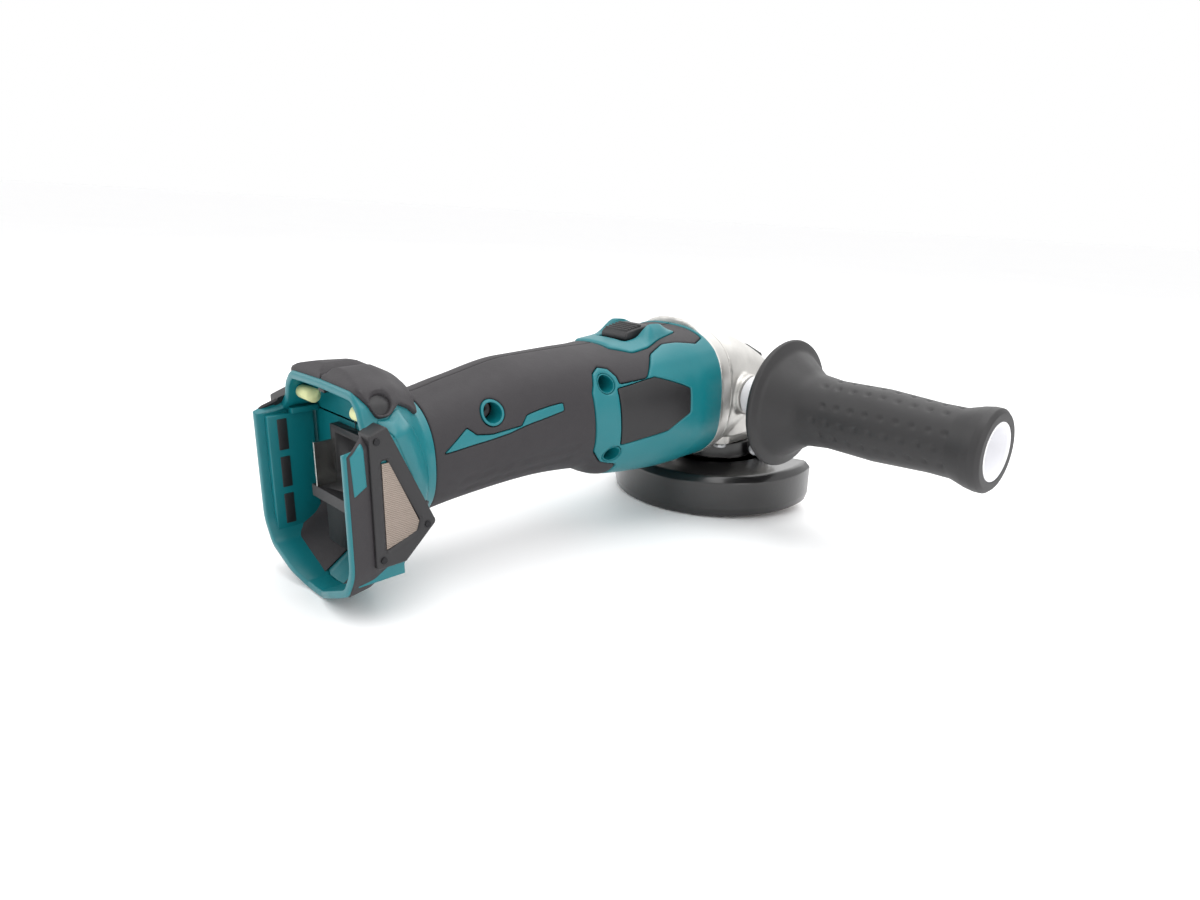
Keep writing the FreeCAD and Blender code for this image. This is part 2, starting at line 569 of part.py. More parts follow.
# ---------------------------------------------------------------- side handle
def side_handle():
    boss = size("boss_reach") + size("handle_gap")
    end, depth = size("handle_end"), size("cup_depth")
    at = ("boss_reach + handle_gap", "handle_setback", "motor_height")
    length = "handle_end - boss_reach - handle_gap"
    flange = "flange_at - boss_reach - handle_gap"
    turned("handle_core", [
        ("handle_thread + 0.02", "0"), ("core_radius - 0.6", "0"), ("core_radius", "0.6"),
        ("core_radius", length + " - 20"), ("cup_radius + core_wall", length + " - 16"),
        ("cup_radius + core_wall", length), ("cup_radius", length),
        ("cup_radius - 0.8", length + " - cup_depth + 9"), ("0", length + " - cup_depth + 7"),
        ("0", "18"), ("handle_thread + 0.02", "18")], at, along_x)
    turned("handle_grip", [
        ("core_radius", flange + " - 4.5"), ("core_radius + 4", flange + " - 4.5"),
        ("handle_flange - 5", flange + " - 3"), ("handle_flange - 0.8", flange + " - 1.2"),
        ("handle_flange", flange), ("handle_flange - 0.8", flange + " + 1.6"),
        ("handle_flange - 6", flange + " + 4.5"), ("grip_radius + 5", flange + " + 9.5"),
        ("grip_radius + 1", flange + " + 16"), ("grip_radius", flange + " + 25"),
        ("grip_radius + 0.4", flange + " + 55"), ("grip_radius - 1.2", flange + " + 84"),
        ("grip_radius - 1.4", flange + " + 92"), ("flare_radius - 0.8", length + " - 8"),
        ("flare_radius", length + " - 5"), ("flare_radius", length + " - 1.6"),
        ("flare_radius - 1.6", length), ("cup_radius + core_wall", length),
        ("cup_radius + core_wall", length + " - 16"), ("core_radius", length + " - 20")], at, along_x)
    # steel stud moulded into the core, threaded into the head
    stud = cylinder(size("handle_thread") - 0.03, size("thread_depth") - 1 + 18,
                    (boss - size("thread_depth") + 1 - 0.3, size("handle_setback"), size("motor_height")), (1, 0, 0))
    shape_part("handle_stud", stud)


# ---------------------------------------------------------------- body shells
def grip_stations():
    high, half, rise = size("motor_height"), size("head_half"), size("head_rise")
    neck = size("neck")
    return [(neck - 26, 20, 95, 37.0, 2.6), (neck - 14, 25, 92, 31.0, 2.5),
            (neck, 33.5, 85.5, 24.0, 2.3), (neck + 25, 35.6, 89.6, 24.2, 2.2),
            (neck + 57, 36.8, 94.4, 26.5, 2.2), (-123, 34.5, 94.5, 28.5, 2.3),
            (-108, 28.4, 94.2, 31.5, 2.4), (-92, high - rise + 1, 94.6, 34.5, 2.6),
            (-70, high - rise, high + rise - 1.4, half - 0.6, 2.7),
            (-55, high - rise, high + rise - 0.5, half - 0.1, 2.7),
            (size("cover_back") - 0.3, high - rise, high + rise, half, 2.7)]


def shield(inset, y_from, y_to):
    """The battery frame seen from behind: arch, shoulders, wings and a pointed chin."""
    half, arch = size("frame_half") - inset, size("arch_top") - inset
    wing, tip = size("wing_top") - inset * 0.6, size("frame_tip") + inset
    side = [(0, arch + 0.8), (26, arch), (31 - inset * 0.6, arch - 5), (32.5 - inset * 0.8, arch - 11),
            (half, wing), (half, 34), (half - 5, 22), (14, tip + 4), (6, tip)]
    outline = side + [(-x, z) for x, z in reversed(side[1:])]
    return prism([(x, y_from, z) for x, z in outline], (0, y_to - y_from, 0))


def battery_block(inset):
    """The outer body of the battery end, from the rim to the neck."""
    arch, wing = size("arch_plane"), size("wing_plane")
    neck = size("neck")
    front = shield(inset, wing - 1, neck + 12)
    side = side_prism([(wing, size("wing_top")), (wing, 30), (wing + 3, size("frame_tip")),
                       (size("bay_floor") + 2, size("frame_tip") + inset), (neck - 4, 36 + inset), (neck + 4, 42 + inset),
                       (neck + 4, 82 - inset), (neck, 84 - inset), (neck - 15, 97 - inset), (arch, 97),
                       (arch, size("wing_top") + 1)], -60, 60)
    half = size("frame_half")
    plan = [(-half + inset, wing), (-half + inset, neck - 20), (-24 + inset, neck + 4), (24 - inset, neck + 4),
            (half - inset, neck - 20), (half - inset, wing)]
    top = prism([(x, y, -20) for x, y in plan], (0, 0, 140))
    return front.common(side).common(top)


def grip_zone(shift):
    """Side view of the rubber-covered grip with its saddle over the head."""
    front, neck = size("grip_front"), size("neck")
    return side_prism([(neck + 6 + shift, 10), (neck + 6 + shift, 120), (-47 - shift, 120), (-47 - shift, 93.5 + shift),
                       (-62, 90.5 + shift), (-88 - shift, 90.5 + shift), (-88 - shift, 81 + shift),
                       (front - shift, 84.5 + shift), (front - 3 - shift, 60), (front + 1 - shift, 46),
                       (front + 10 - shift, 37 - shift), (front + 19 - shift, 10)], -60, 60)


def screw_spots():
    """Side-view places of the screws that clamp the two shells, and their depth below the surface."""
    return [(-182, 77.5), (-119.5, 82.5), (-114, 41.0)]


def body_shells():
    seam, wall, skin = size("seam"), size("wall"), size("skin")
    stations = grip_stations()
    outer = loft(stations)
    core = loft(stations, skin)
    hollow = loft(stations, wall + skin)
    right_side = box((seam, -300, -50), (80, 100, 150))
    # rubber skin over the grip
    rubber = outer.cut(core).common(grip_zone(0.0))
    knob_slot = box((-size("knob_half") - 1.2, size("knob_back") - 2, 86),
                    (size("knob_half") + 1.2, size("knob_front") + size("switch_travel") + 2, 120))
    recesses = Part.makeCompound([cylinder(4.6, 80, (-40, y, z), (1, 0, 0)) for y, z in screw_spots()])
    rubber = rubber.cut(knob_slot).cut(recesses)
    # hard shell: full size on the head, one skin smaller under the rubber
    block = battery_block(0.0)
    bay = shield(size("frame_wall"), size("wing_plane") - 5, size("bay_floor"))
    inside = battery_block(wall + 0.8).common(box((-60, size("bay_floor") + 3, -20), (60, 100, 140)))
    hard = outer.common(box((-60, size("bay_floor") - 6, 0), (60, 0, 140))).fuse(block)
    hard = hard.cut(outer.cut(core).common(grip_zone(0.0)))
    empty = hollow.common(box((-60, size("bay_floor") + 3, -20), (60, 20, 140))).fuse(inside)
    hard = hard.cut(empty).cut(bay)
    bosses = []
    for y, z in screw_spots():
        bosses.append(cylinder(3.8, 60, (-30, y, z), (1, 0, 0)))
    hard = hard.fuse(Part.makeCompound(bosses).common(core))
    rail = box((31.2, size("wing_plane") + 0.6, 33), (37, size("wing_plane") + 4.2, 77))
    hard = hard.fuse(rail).fuse(mirrored(rail))
    # the knob slides in a shallow well, with a slot in its floor for the slider's stem
    hard = hard.cut(box((-size("knob_half") - 1.2, size("knob_back") - 2, 93.2),
                        (size("knob_half") + 1.2, size("knob_front") + size("switch_travel") + 2, 120)))
    floor = box((-12, size("knob_back") - 4, 91.2), (12, size("knob_front") + size("switch_travel") + 3, 93.2))
    hard = hard.fuse(floor.common(core)).cut(box((-4.3, -79, 80), (4.3, -62, 120)))
    pilot = [cylinder(1.7, 80, (-40, y, z), (1, 0, 0)) for y, z in screw_spots()]
    sinks = [cylinder(4.6, 40, (s * 16.5, y, z), (s, 0, 0)) for y, z in screw_spots() for s in (1, -1)]
    cap_zone = box((-31, size("arch_plane") + 2.5, 92), (31, size("neck") + 8, 120))
    hard = hard.cut(Part.makeCompound(pilot)).cut(Part.makeCompound(sinks)).cut(cap_zone)
    for side, keep in (("right", right_side), ("left", mirrored(right_side))):
        half = largest(hard.common(keep))
        shape_part("housing_" + side, half)
        shape_part("grip_overmold_" + side, largest(rubber.common(keep)))
    shape_part("housing_screws", [screw(1.6, 24, 3.6, 2.4, (16.52, y, z), (-1, 0, 0)) for y, z in screw_spots()])
    # caps over the arch of the battery end
    cap = side_prism([(size("arch_plane") + 2.6, 92.1), (size("arch_plane") + 2.6, 100), (-239, 102.4),
                      (-231, 100.8), (-224, 96.5), (size("neck"), 86.5), (size("neck"), 84), (-216, 84.5),
                      (-222, 92.1)], -31, 31)
    bow = prism([(x, -260, 60) for x in (-30.8, 30.8)] + [(30.8, -260, 90), (27, -260, 96.5), (16, -260, 100.6),
                (6, -260, 102.4), (-6, -260, 102.4), (-16, -260, 100.6), (-27, -260, 96.5), (-30.8, -260, 90)],
                (0, 60, 0))
    cap = cap.common(bow).cut(outer.fuse(block).cut(cap_zone))
    cap = cap.cut(cylinder(4.2, 12, (24.5, -232.5, 95), (1, 0, 0))).cut(cylinder(4.2, 12, (-24.5, -232.5, 95), (-1, 0, 0)))
    for side, keep in (("right", right_side), ("left", mirrored(right_side))):
        shape_part("rear_cap_" + side, largest(cap.common(keep)))


def largest(shape):
    """The biggest solid of a cut, which drops slivers thinner than the seam."""
    return max(shape.Solids, key=lambda s: s.Volume)


# ---------------------------------------------------------------- battery end details
def battery_end():
    floor, half = size("bay_floor"), size("frame_half")
    # snap-on dust covers: triangular frame and mesh on each side
    tri = [(-248, 84), (-241, 86), (-221, 46), (-224, 40), (-236, 31), (-248, 31)]
    hole = [(-243, 72), (-240, 72), (-228.5, 46), (-230, 42), (-243, 38)]
    frame = side_prism(tri, half + 0.05, half + 1.9).cut(side_prism(hole, half - 2, half + 4))
    mesh = side_prism(hole, half + 0.5, half + 0.9)
    pins = [cylinder(1.3, 0.5, (half + 1.9, y, z), (1, 0, 0)) for y, z in ((-245, 81), (-225.5, 44), (-245, 34.5))]
    shape_part("filter_frame_right", frame)
    shape_part("filter_frame_left", mirrored(frame))
    shape_part("filter_meshes", [mesh, mirrored(mesh)])
    shape_part("filter_rivets", pins + [mirrored(p) for p in pins])
    # terminal block with two blades and two signal clips
    block = box((-15, floor - 4, 26), (15, floor - 0.05, 74))
    step = box((-17, floor - 13, 44), (17, floor - 4, 49))
    foot = box((-9, floor - 11, 26), (9, floor - 4, 44))
    block = block.fuse(step).fuse(foot).cut(box((-11, floor - 4.1, 54), (11, floor - 2.5, 71)))
    blades = [box((x - 0.4, floor - 13, 49.05), (x + 0.4, floor - 4.05, 68)) for x in (-12.5, 12.5)]
    clips = []
    for z in (50.0, 56.0):
        clip = box((6.0, floor - 8, z), (9.6, floor - 4.05, z + 3)).cut(
            box((6.6, floor - 8.5, z - 1), (9.0, floor - 5, z + 4)))
        clips.append(clip)
    shape_part("terminal_block", block.removeSplitter())
    shape_part("terminal_blades", blades)
    shape_part("terminal_clips", clips)
    shape_part("battery_cushions", [cylinder(3.0, 10.2, (s * 17.5, -239.5, 86), (s, 0, 0)) for s in (1, -1)])
    # controller in its potted tray inside the grip
    tray = box((-12, -198, 46), (12, -152, 70)).cut(box((-10.5, -196.5, 48), (10.5, -153.5, 72)))
    board = box((-10.4, -196.4, 48.1), (10.4, -153.6, 62))
    parts = [cylinder(4, 7.5, (0, y, 62), (0, 0, 1)) for y in (-190, -180)]
    parts.append(box((-8, -173, 62), (8, -158, 66)))
    shape_part("controller_tray", tray)
    shape_part("controller_board", board.multiFuse(parts).removeSplitter())
    # switch body behind the motor
    body = box((-9, -150, 60), (9, -128, 84)).cut(box((-5.3, -140.5, 81.9), (5.3, -127.5, 85)))
    shape_part("switch_unit", body)


# ---------------------------------------------------------------- slide switch
def slide_switch():
    back, front, half = size("knob_back"), size("knob_front"), size("knob_half")
    travel = size("switch_travel")
    pivot = (-73.75, 96.0)
    bar = box((-5, -140, 88.0), (5, -68, 89.6)).fuse(box((-5, -140, 82), (5, -137.5, 88.2)))
    stem = box((-3.4, pivot[0] - 3.25, 89.5), (3.4, pivot[0] + 3.25, 97.6))
    pin = cylinder(1.3, 12, (-6, *pivot), (1, 0, 0))
    shape_part("switch_slider", bar.fuse(stem).fuse(pin).removeSplitter())
    outline = [(back, 94.2), (back, 96.8), (back + 1.5, 98.4), (back + 14, 100.6), (front - 5, 100.4),
               (front - 0.5, 98.4), (front, 94.2)]
    knob = side_prism(outline, -half, half)
    for k in range(4):
        y = back + 2.8 + 2.6 * k
        knob = knob.cut(box((-half + 1.2, y, 97.6 + 0.45 * k), (half - 1.2, y + 1.1, 108)))
    knob = knob.cut(box((-3.5, pivot[0] - 3.75, 90), (3.5, pivot[0] + 3.75, 98.1)))
    knob = knob.cut(cylinder(1.36, 12.4, (-6.2, *pivot), (1, 0, 0)))
    shape_part("switch_knob", knob)
    gap = 0.5
    rim = side_prism([(-101, 90), (-101, 95.1), (-84, 95.8), (-77.5, 98.2), (-71, 101.2), (-61, 100.6),
                      (-54, 97.4), (-54, 90)], -19, 19)
    bow = prism([(x, -120, z) for x, z in ((-19, 80), (-19, 93), (-14, 100), (-11.5, 108), (11.5, 108), (14, 100),
                                           (19, 93), (19, 80))], (0, 90, 0))
    well = box((-half - gap, back - 1.2, 80), (half + gap, front + travel + gap, 120))
    rim = rim.common(bow).cut(well).cut(loft(grip_stations(), -0.02))
    shape_part("switch_bezel", rim)


# ---------------------------------------------------------------- label plates and inlays
def trim_plates():
    half = size("head_half")
    label = [(-109, 84.5), (-76, 89), (-60, 81), (-59, 64), (-71, 50), (-106, 40)]
    surface = loft(grip_stations(), -0.5)
    below = loft(grip_stations(), -0.05)
    plate = side_prism(label, 5, 80).common(surface).cut(below)
    shape_part("label_plate_right", largest(plate))
    shape_part("label_plate_left", mirrored(largest(plate)))
    flash = [(-206, 67), (-193, 75.7), (-189, 71.3), (-180, 68.5), (-166.5, 68.5), (-163.5, 73.3), (-144.5, 75.4),
             (-144.2, 71.6), (-168, 64.6)]
    inlay = side_prism(flash, 5, 80).common(surface).cut(below)
    shape_part("grip_inlay_right", largest(inlay))
    shape_part("grip_inlay_left", mirrored(largest(inlay)))


spindle_group()
gear_pair()
bearings()
motor_group()
gear_head()
wheel_guard()
side_handle()
body_shells()
battery_end()
slide_switch()
trim_plates()
doc.recompute()

faults = []
for thing in doc.Objects:
    if any(word in ("Invalid", "Error") for word in thing.State):
        faults.append(f"{thing.Name}: {thing.State}")
for piece in subparts:
    if piece.Shape.isNull() or not piece.Shape.isValid() or not piece.Shape.Solids:
        faults.append(f"{piece.Label}: bad shape")
if faults:
    raise RuntimeError("; ".join(faults))

os.makedirs("parts", exist_ok=True)
for piece in subparts:
    piece.Shape.exportStep(os.path.join("parts", piece.Label + ".step"))
print(len(subparts), "sub-parts written")
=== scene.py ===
import json
import math
import bpy
import bmesh
import numpy as np
from mathutils import Matrix, Vector
from mathutils.geometry import delaunay_2d_cdt

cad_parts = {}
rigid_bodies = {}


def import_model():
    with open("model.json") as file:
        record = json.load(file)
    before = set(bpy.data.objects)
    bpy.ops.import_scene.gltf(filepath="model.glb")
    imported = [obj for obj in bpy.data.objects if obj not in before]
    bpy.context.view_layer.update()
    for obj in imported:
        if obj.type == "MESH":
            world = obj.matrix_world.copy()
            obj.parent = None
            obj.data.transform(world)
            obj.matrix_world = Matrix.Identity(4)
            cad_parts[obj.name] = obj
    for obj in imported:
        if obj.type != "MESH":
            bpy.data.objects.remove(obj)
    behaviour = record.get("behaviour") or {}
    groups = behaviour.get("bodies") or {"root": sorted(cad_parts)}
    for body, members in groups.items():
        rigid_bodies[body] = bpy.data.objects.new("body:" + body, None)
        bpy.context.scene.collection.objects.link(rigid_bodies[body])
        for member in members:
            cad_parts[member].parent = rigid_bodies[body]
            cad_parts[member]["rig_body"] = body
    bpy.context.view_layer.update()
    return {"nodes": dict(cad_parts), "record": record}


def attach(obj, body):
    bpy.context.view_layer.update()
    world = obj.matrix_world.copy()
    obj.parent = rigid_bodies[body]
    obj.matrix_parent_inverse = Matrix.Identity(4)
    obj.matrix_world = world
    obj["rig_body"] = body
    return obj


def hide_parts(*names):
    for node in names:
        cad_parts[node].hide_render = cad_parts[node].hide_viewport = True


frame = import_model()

mm = 0.001
scene = bpy.context.scene
for spare in [o for o in scene.objects if o.name in ("Cube", "Light", "Camera")]:
    bpy.data.objects.remove(spare)
print("frame loaded")


# Shader helpers: a socket that can be used in sums
class Wire:
    def __init__(self, finish, socket):
        self.finish, self.socket = finish, socket

    def sum(self, other, how, turned=False):
        sides = {0: other, 1: self} if turned else {0: self, 1: other}
        return self.finish.node("ShaderNodeMath", {"operation": how}, sides)

    def __add__(self, other):
        return self.sum(other, "ADD")

    def __radd__(self, other):
        return self.sum(other, "ADD", True)

    def __sub__(self, other):
        return self.sum(other, "SUBTRACT")

    def __rsub__(self, other):
        return self.sum(other, "SUBTRACT", True)

    def __mul__(self, other):
        return self.sum(other, "MULTIPLY")

    def __rmul__(self, other):
        return self.sum(other, "MULTIPLY", True)

    def __gt__(self, other):
        return self.sum(other, "GREATER_THAN")

    def ramp(self, low, high):           # 0 below low, 1 above high, smooth between
        return self.finish.node("ShaderNodeMapRange", {"interpolation_type": "SMOOTHSTEP"},
                                {"Value": self, "From Min": low, "From Max": high})


class Finish:
    def __init__(self, name, **sockets):
        self.material = bpy.data.materials.new(name)
        self.material.use_nodes = True
        self.tree = self.material.node_tree
        self.shader = self.tree.nodes["Principled BSDF"]
        self.spot = self.node("ShaderNodeTexCoord", out="Object")
        for key, value in sockets.items():
            self.shader.inputs[key.replace("_", " ")].default_value = value

    def node(self, kind, settings=None, sockets=None, out=0):
        made = self.tree.nodes.new(kind)
        for key, value in (settings or {}).items():
            if key == "stops":
                while len(made.color_ramp.elements) < len(value):
                    made.color_ramp.elements.new(0.5)
                for element, (at, shade) in zip(made.color_ramp.elements, value):
                    element.position = at
                    element.color = shade
            else:
                setattr(made, key, value)
        for key, value in (sockets or {}).items():
            if isinstance(value, Wire):
                self.tree.links.new(value.socket, made.inputs[key])
            else:
                made.inputs[key].default_value = value
        return Wire(self, made.outputs[out])

    def feed(self, name, wire):
        self.tree.links.new(wire.socket, self.shader.inputs[name])

    def noise(self, scale, detail=3.0, rough=0.55):
        sockets = {"Vector": self.spot, "Scale": scale, "Detail": detail, "Roughness": rough}
        return self.node("ShaderNodeTexNoise", {}, sockets, "Fac")

    def grain(self, scale, out="Distance"):
        return self.node("ShaderNodeTexVoronoi", {}, {"Vector": self.spot, "Scale": scale}, out)

    def blend(self, first, second, share):
        return self.node("ShaderNodeMix", {"data_type": "RGBA"}, {0: share, 6: first, 7: second}, 2)

    def part(self, axis):
        return self.node("ShaderNodeSeparateXYZ", {}, {0: self.spot}, "XYZ".index(axis))

    def edges(self, radius):             # rounded normal, and a mask that is 1 on the rounded edges
        soft = self.node("ShaderNodeBevel", {"samples": 4}, {"Radius": radius})
        plain = self.node("ShaderNodeNewGeometry", out="Normal")
        same = self.node("ShaderNodeVectorMath", {"operation": "DOT_PRODUCT"}, {0: soft, 1: plain}, "Value")
        return soft, (1 - same).ramp(0.01, 0.2)

    def bump(self, height, depth, normal=None):
        sockets = {"Height": height, "Distance": depth}
        if normal:
            sockets["Normal"] = normal
        return self.node("ShaderNodeBump", {}, sockets)


def shade(red, green, blue):             # display colour, 0-255, as linear light
    return tuple(c / 12.92 if c < 0.04045 else ((c + 0.055) / 1.055) ** 2.4
                 for c in (red / 255, green / 255, blue / 255)) + (1.0,)


def lighter(colour, by):
    return tuple(min(1.0, c * by) for c in colour[:3]) + (1.0,)


plasticLook = {  # colour, roughness, grain per metre and its depth, width of the rounded edges, how much lighter their painted highlight is
    "teal": (shade(6, 108, 116), 0.36, 2600, 0.000012, 0.0005, 1.25),
    "rubber": (shade(42, 39, 42), 0.62, 1500, 0.00005, 0.0006, 1.3),
    "black": (shade(33, 32, 34), 0.5, 2200, 0.00002, 0.0004, 1.35),
    "handle": (shade(38, 37, 38), 0.52, 2000, 0.00002, 0.0005, 1.3),
    "white": (shade(235, 235, 238), 0.32, 1200, 0.000008, 0.0005, 1.02),
    "film": (shade(27, 26, 28), 0.42, 3000, 0.000006, 0.0003, 1.3),
    "cushion": (shade(222, 226, 168), 0.5, 900, 0.00003, 0.0006, 1.05),
    "board": (shade(18, 52, 30), 0.45, 1500, 0.00002, 0.0002, 1.2),
    "potting": (shade(60, 60, 62), 0.6, 900, 0.00004, 0.0004, 1.1),
}


def plastic(name, colour, rough, grain, depth, edge, edgeHighlight):
    f = Finish(name, IOR=1.48)
    soft, rim = f.edges(edge)
    broad = f.noise(38, 2.0)
    fine = f.noise(grain, 2.0)
    cells = f.grain(grain * 0.6)
    tint = f.blend(lighter(colour, 0.9), lighter(colour, 1.1), broad)
    # the rounded edges get a painted highlight: the colour is made lighter over the edge mask
    tint = f.blend(tint, lighter(colour, edgeHighlight), rim * 0.7)
    f.feed("Base Color", tint)
    f.feed("Roughness", rough - 0.05 + 0.1 * f.noise(220, 3.0) - 0.08 * rim)
    f.feed("Normal", f.bump(fine + cells * 0.6, depth, soft))
    return f.material


metalLook = {  # colour, roughness, grain per metre and its depth, width of the rounded edges that get a painted highlight, stains, metallic share
    "cast": (shade(205, 203, 199), 0.4, 900, 0.00003, 0.0006, 0.16, 0.8),
    "zinc": (shade(188, 190, 192), 0.3, 2500, 0.00001, 0.0003, 0.1, 1.0),
    "steel": (shade(196, 196, 198), 0.22, 1800, 0.000006, 0.0004, 0.08, 1.0),
    "gear": (shade(150, 150, 152), 0.32, 1500, 0.00001, 0.0003, 0.2, 1.0),
    "blackScrew": (shade(40, 40, 42), 0.38, 2000, 0.00001, 0.0003, 0.2, 0.7),
    "copper": (shade(190, 110, 70), 0.35, 2200, 0.00004, 0.0003, 0.2, 1.0),
    "lamination": (shade(120, 120, 126), 0.4, 1500, 0.00002, 0.0003, 0.2, 1.0),
    "contact": (shade(205, 204, 200), 0.2, 1800, 0.000008, 0.0003, 0.1, 1.0),
}


def metal(name, colour, rough, grain, depth, edge, stains, metal):
    f = Finish(name, Metallic=metal)
    soft, rim = f.edges(edge)
    cloud = f.noise(60, 4.0, 0.6)
    tint = f.blend(lighter(colour, 1 - stains), colour, cloud.ramp(0.3, 0.7))
    # the rounded edges get a painted highlight: the colour is made lighter over the edge mask
    tint = f.blend(tint, lighter(colour, 1.15), rim * 0.8)
    f.feed("Base Color", tint)
    f.feed("Roughness", rough - 0.06 + 0.14 * f.noise(400, 3.0))
    f.feed("Normal", f.bump(f.noise(grain, 4.0, 0.65), depth, soft))
    return f.material


def guardPaint():
    f = Finish("guardPaint", Coat_Weight=0.5, Coat_Roughness=0.12)
    soft, rim = f.edges(0.0007)
    cloud = f.noise(70, 3.0)
    # the paint is lighter at random under the cloud noise, and lighter on the rounded edges as a painted highlight
    f.feed("Base Color", f.blend(shade(20, 19, 20), shade(34, 33, 34), cloud * 0.5 + rim * 0.5))
    f.feed("Roughness", 0.24 + 0.12 * f.noise(160, 3.0))
    f.feed("Normal", f.bump(f.noise(420, 2.0), 0.00004, soft))
    return f.material


def abrasive():
    f = Finish("abrasive", Roughness=0.9)
    cells = f.grain(1100, out="Color")
    lone = f.node("ShaderNodeSeparateColor", {}, {0: cells}, "Red")
    high = f.part("Z") > 0.0046
    grains = f.node("ShaderNodeValToRGB", {"stops": [(0.0, shade(70, 48, 40)), (0.6, shade(112, 80, 66)),
                                                     (1.0, shade(170, 132, 110))]}, {0: lone})
    top = f.blend(shade(150, 148, 146), shade(205, 203, 200), f.noise(300, 4.0))
    f.feed("Base Color", f.blend(grains, top, high))
    f.feed("Normal", f.bump(f.grain(1100), 0.0003))
    return f.material


def filterMesh():                        # fine horizontal wires over a dull grey-brown sheet
    f = Finish("filterMesh", Metallic=0.85)
    lines = f.node("ShaderNodeTexWave", {"wave_type": "BANDS", "bands_direction": "Z"},
                   {"Vector": f.spot, "Scale": 420.0, "Distortion": 0.5, "Detail": 1.0}, "Fac")
    cross = f.node("ShaderNodeTexWave", {"wave_type": "BANDS", "bands_direction": "Y"},
                   {"Vector": f.spot, "Scale": 700.0, "Distortion": 0.2}, "Fac")
    f.feed("Base Color", f.blend(shade(128, 116, 107), shade(170, 157, 147), lines * 0.7 + cross * 0.3))
    f.feed("Roughness", 0.34 + 0.16 * f.noise(300))
    f.feed("Normal", f.bump(lines + 0.5 * cross, 0.00012))
    return f.material


plastics = {name: plastic(name + "Plastic", *look) for name, look in plasticLook.items()}
metals = {name: metal(name + "Metal", *look) for name, look in metalLook.items()}
slotFinish = {
    "cushion": plastics["cushion"], "cast_aluminium": metals["cast"], "steel_fastener": metals["zinc"],
    "steel": metals["steel"], "gear_steel": metals["gear"], "potting": plastics["potting"],
    "black_plastic": plastics["black"], "fan_plastic": plastics["black"], "mesh_steel": filterMesh(),
    "abrasive": abrasive(), "teal_plastic": plastics["teal"], "grip_rubber": plastics["rubber"],
    "white_plastic": plastics["white"], "handle_rubber": plastics["handle"], "label_film": plastics["film"],
    "lamination": metals["lamination"], "copper": metals["copper"], "spring_steel": metals["steel"],
    "contact_plate": metals["contact"], "guard_paint": guardPaint(), "bearing_steel": metals["steel"],
}
nodeSlot = {part["node"]: part["material_slot"] for part in frame["record"]["subparts"]}
for node, cadPart in frame["nodes"].items():
    for place in cadPart.material_slots:
        place.material = slotFinish[nodeSlot[node]]
print("finishes ready")


# Pieces
def piece(name, verts, faces, body, slotName, nodes=(), finish=None, sharp=32, scale=mm):
    mesh = bpy.data.meshes.new(name)
    mesh.from_pydata([tuple(float(c) * scale for c in v) for v in verts], [], faces)
    mesh.validate()
    return wear(name, mesh, body, slotName, nodes, finish, sharp)


def wear(name, mesh, body, slotName, nodes=(), finish=None, sharp=32):
    mesh.materials.clear()
    mesh.materials.append(finish or slotFinish[slotName])
    mesh.polygons.foreach_set("use_smooth", [True] * len(mesh.polygons))
    mesh.set_sharp_from_angle(angle=math.radians(sharp))
    made = bpy.data.objects.new(name, mesh)
    scene.collection.objects.link(made)
    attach(made, body)
    if nodes:
        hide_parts(*nodes)
    return made


def settled(work, name):                 # a finished bmesh, as a new mesh
    mesh = bpy.data.meshes.new(name)
    work.to_mesh(mesh)
    work.free()
    return mesh


def merged(node):                        # a welded copy of a CAD node's mesh, as a bmesh
    work = bmesh.new()
    work.from_mesh(frame["nodes"][node].data)
    bmesh.ops.remove_doubles(work, verts=work.verts, dist=0.000004)
    return work


def bodyOf(node):
    return frame["nodes"][node]["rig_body"]


def dressed(node, name, sharp=32, finish=None):
    return wear(name, settled(merged(node), name), bodyOf(node), nodeSlot[node], (node,), finish, sharp)


def recalc(made):                        # faces of a closed piece point outwards
    work = bmesh.new()
    work.from_mesh(made.data)
    bmesh.ops.recalc_face_normals(work, faces=work.faces)
    work.to_mesh(made.data)
    work.free()
    return made


def mirror(made, name, body, slotName, nodes=(), finish=None, sharp=32):
    work = bmesh.new()
    work.from_mesh(made.data)
    for v in work.verts:
        v.co.x = -v.co.x
    bmesh.ops.reverse_faces(work, faces=work.faces)
    return wear(name, settled(work, name), body, slotName, nodes, finish or made.data.materials[0], sharp)


def smoothStep(t):
    t = np.clip(t, 0, 1)
    return t * t * (3 - 2 * t)


# The barrel's skin: rounded sections along Y, in millimetres
barrel = [  # y, lowest z, highest z, half width, squareness
    (-238, 20, 95, 37.0, 2.6), (-226, 25, 92, 31.0, 2.5), (-212, 33.5, 85.5, 24.0, 2.3),
    (-187, 35.6, 89.6, 24.2, 2.2), (-155, 36.8, 94.4, 26.5, 2.2), (-123, 34.5, 94.5, 28.5, 2.3),
    (-108, 28.4, 94.2, 31.5, 2.4), (-92, 27, 94.6, 34.5, 2.6), (-70, 26, 96.6, 36.9, 2.7),
    (-55, 26, 97.5, 37.4, 2.7), (-43.3, 26, 98, 37.5, 2.7)]


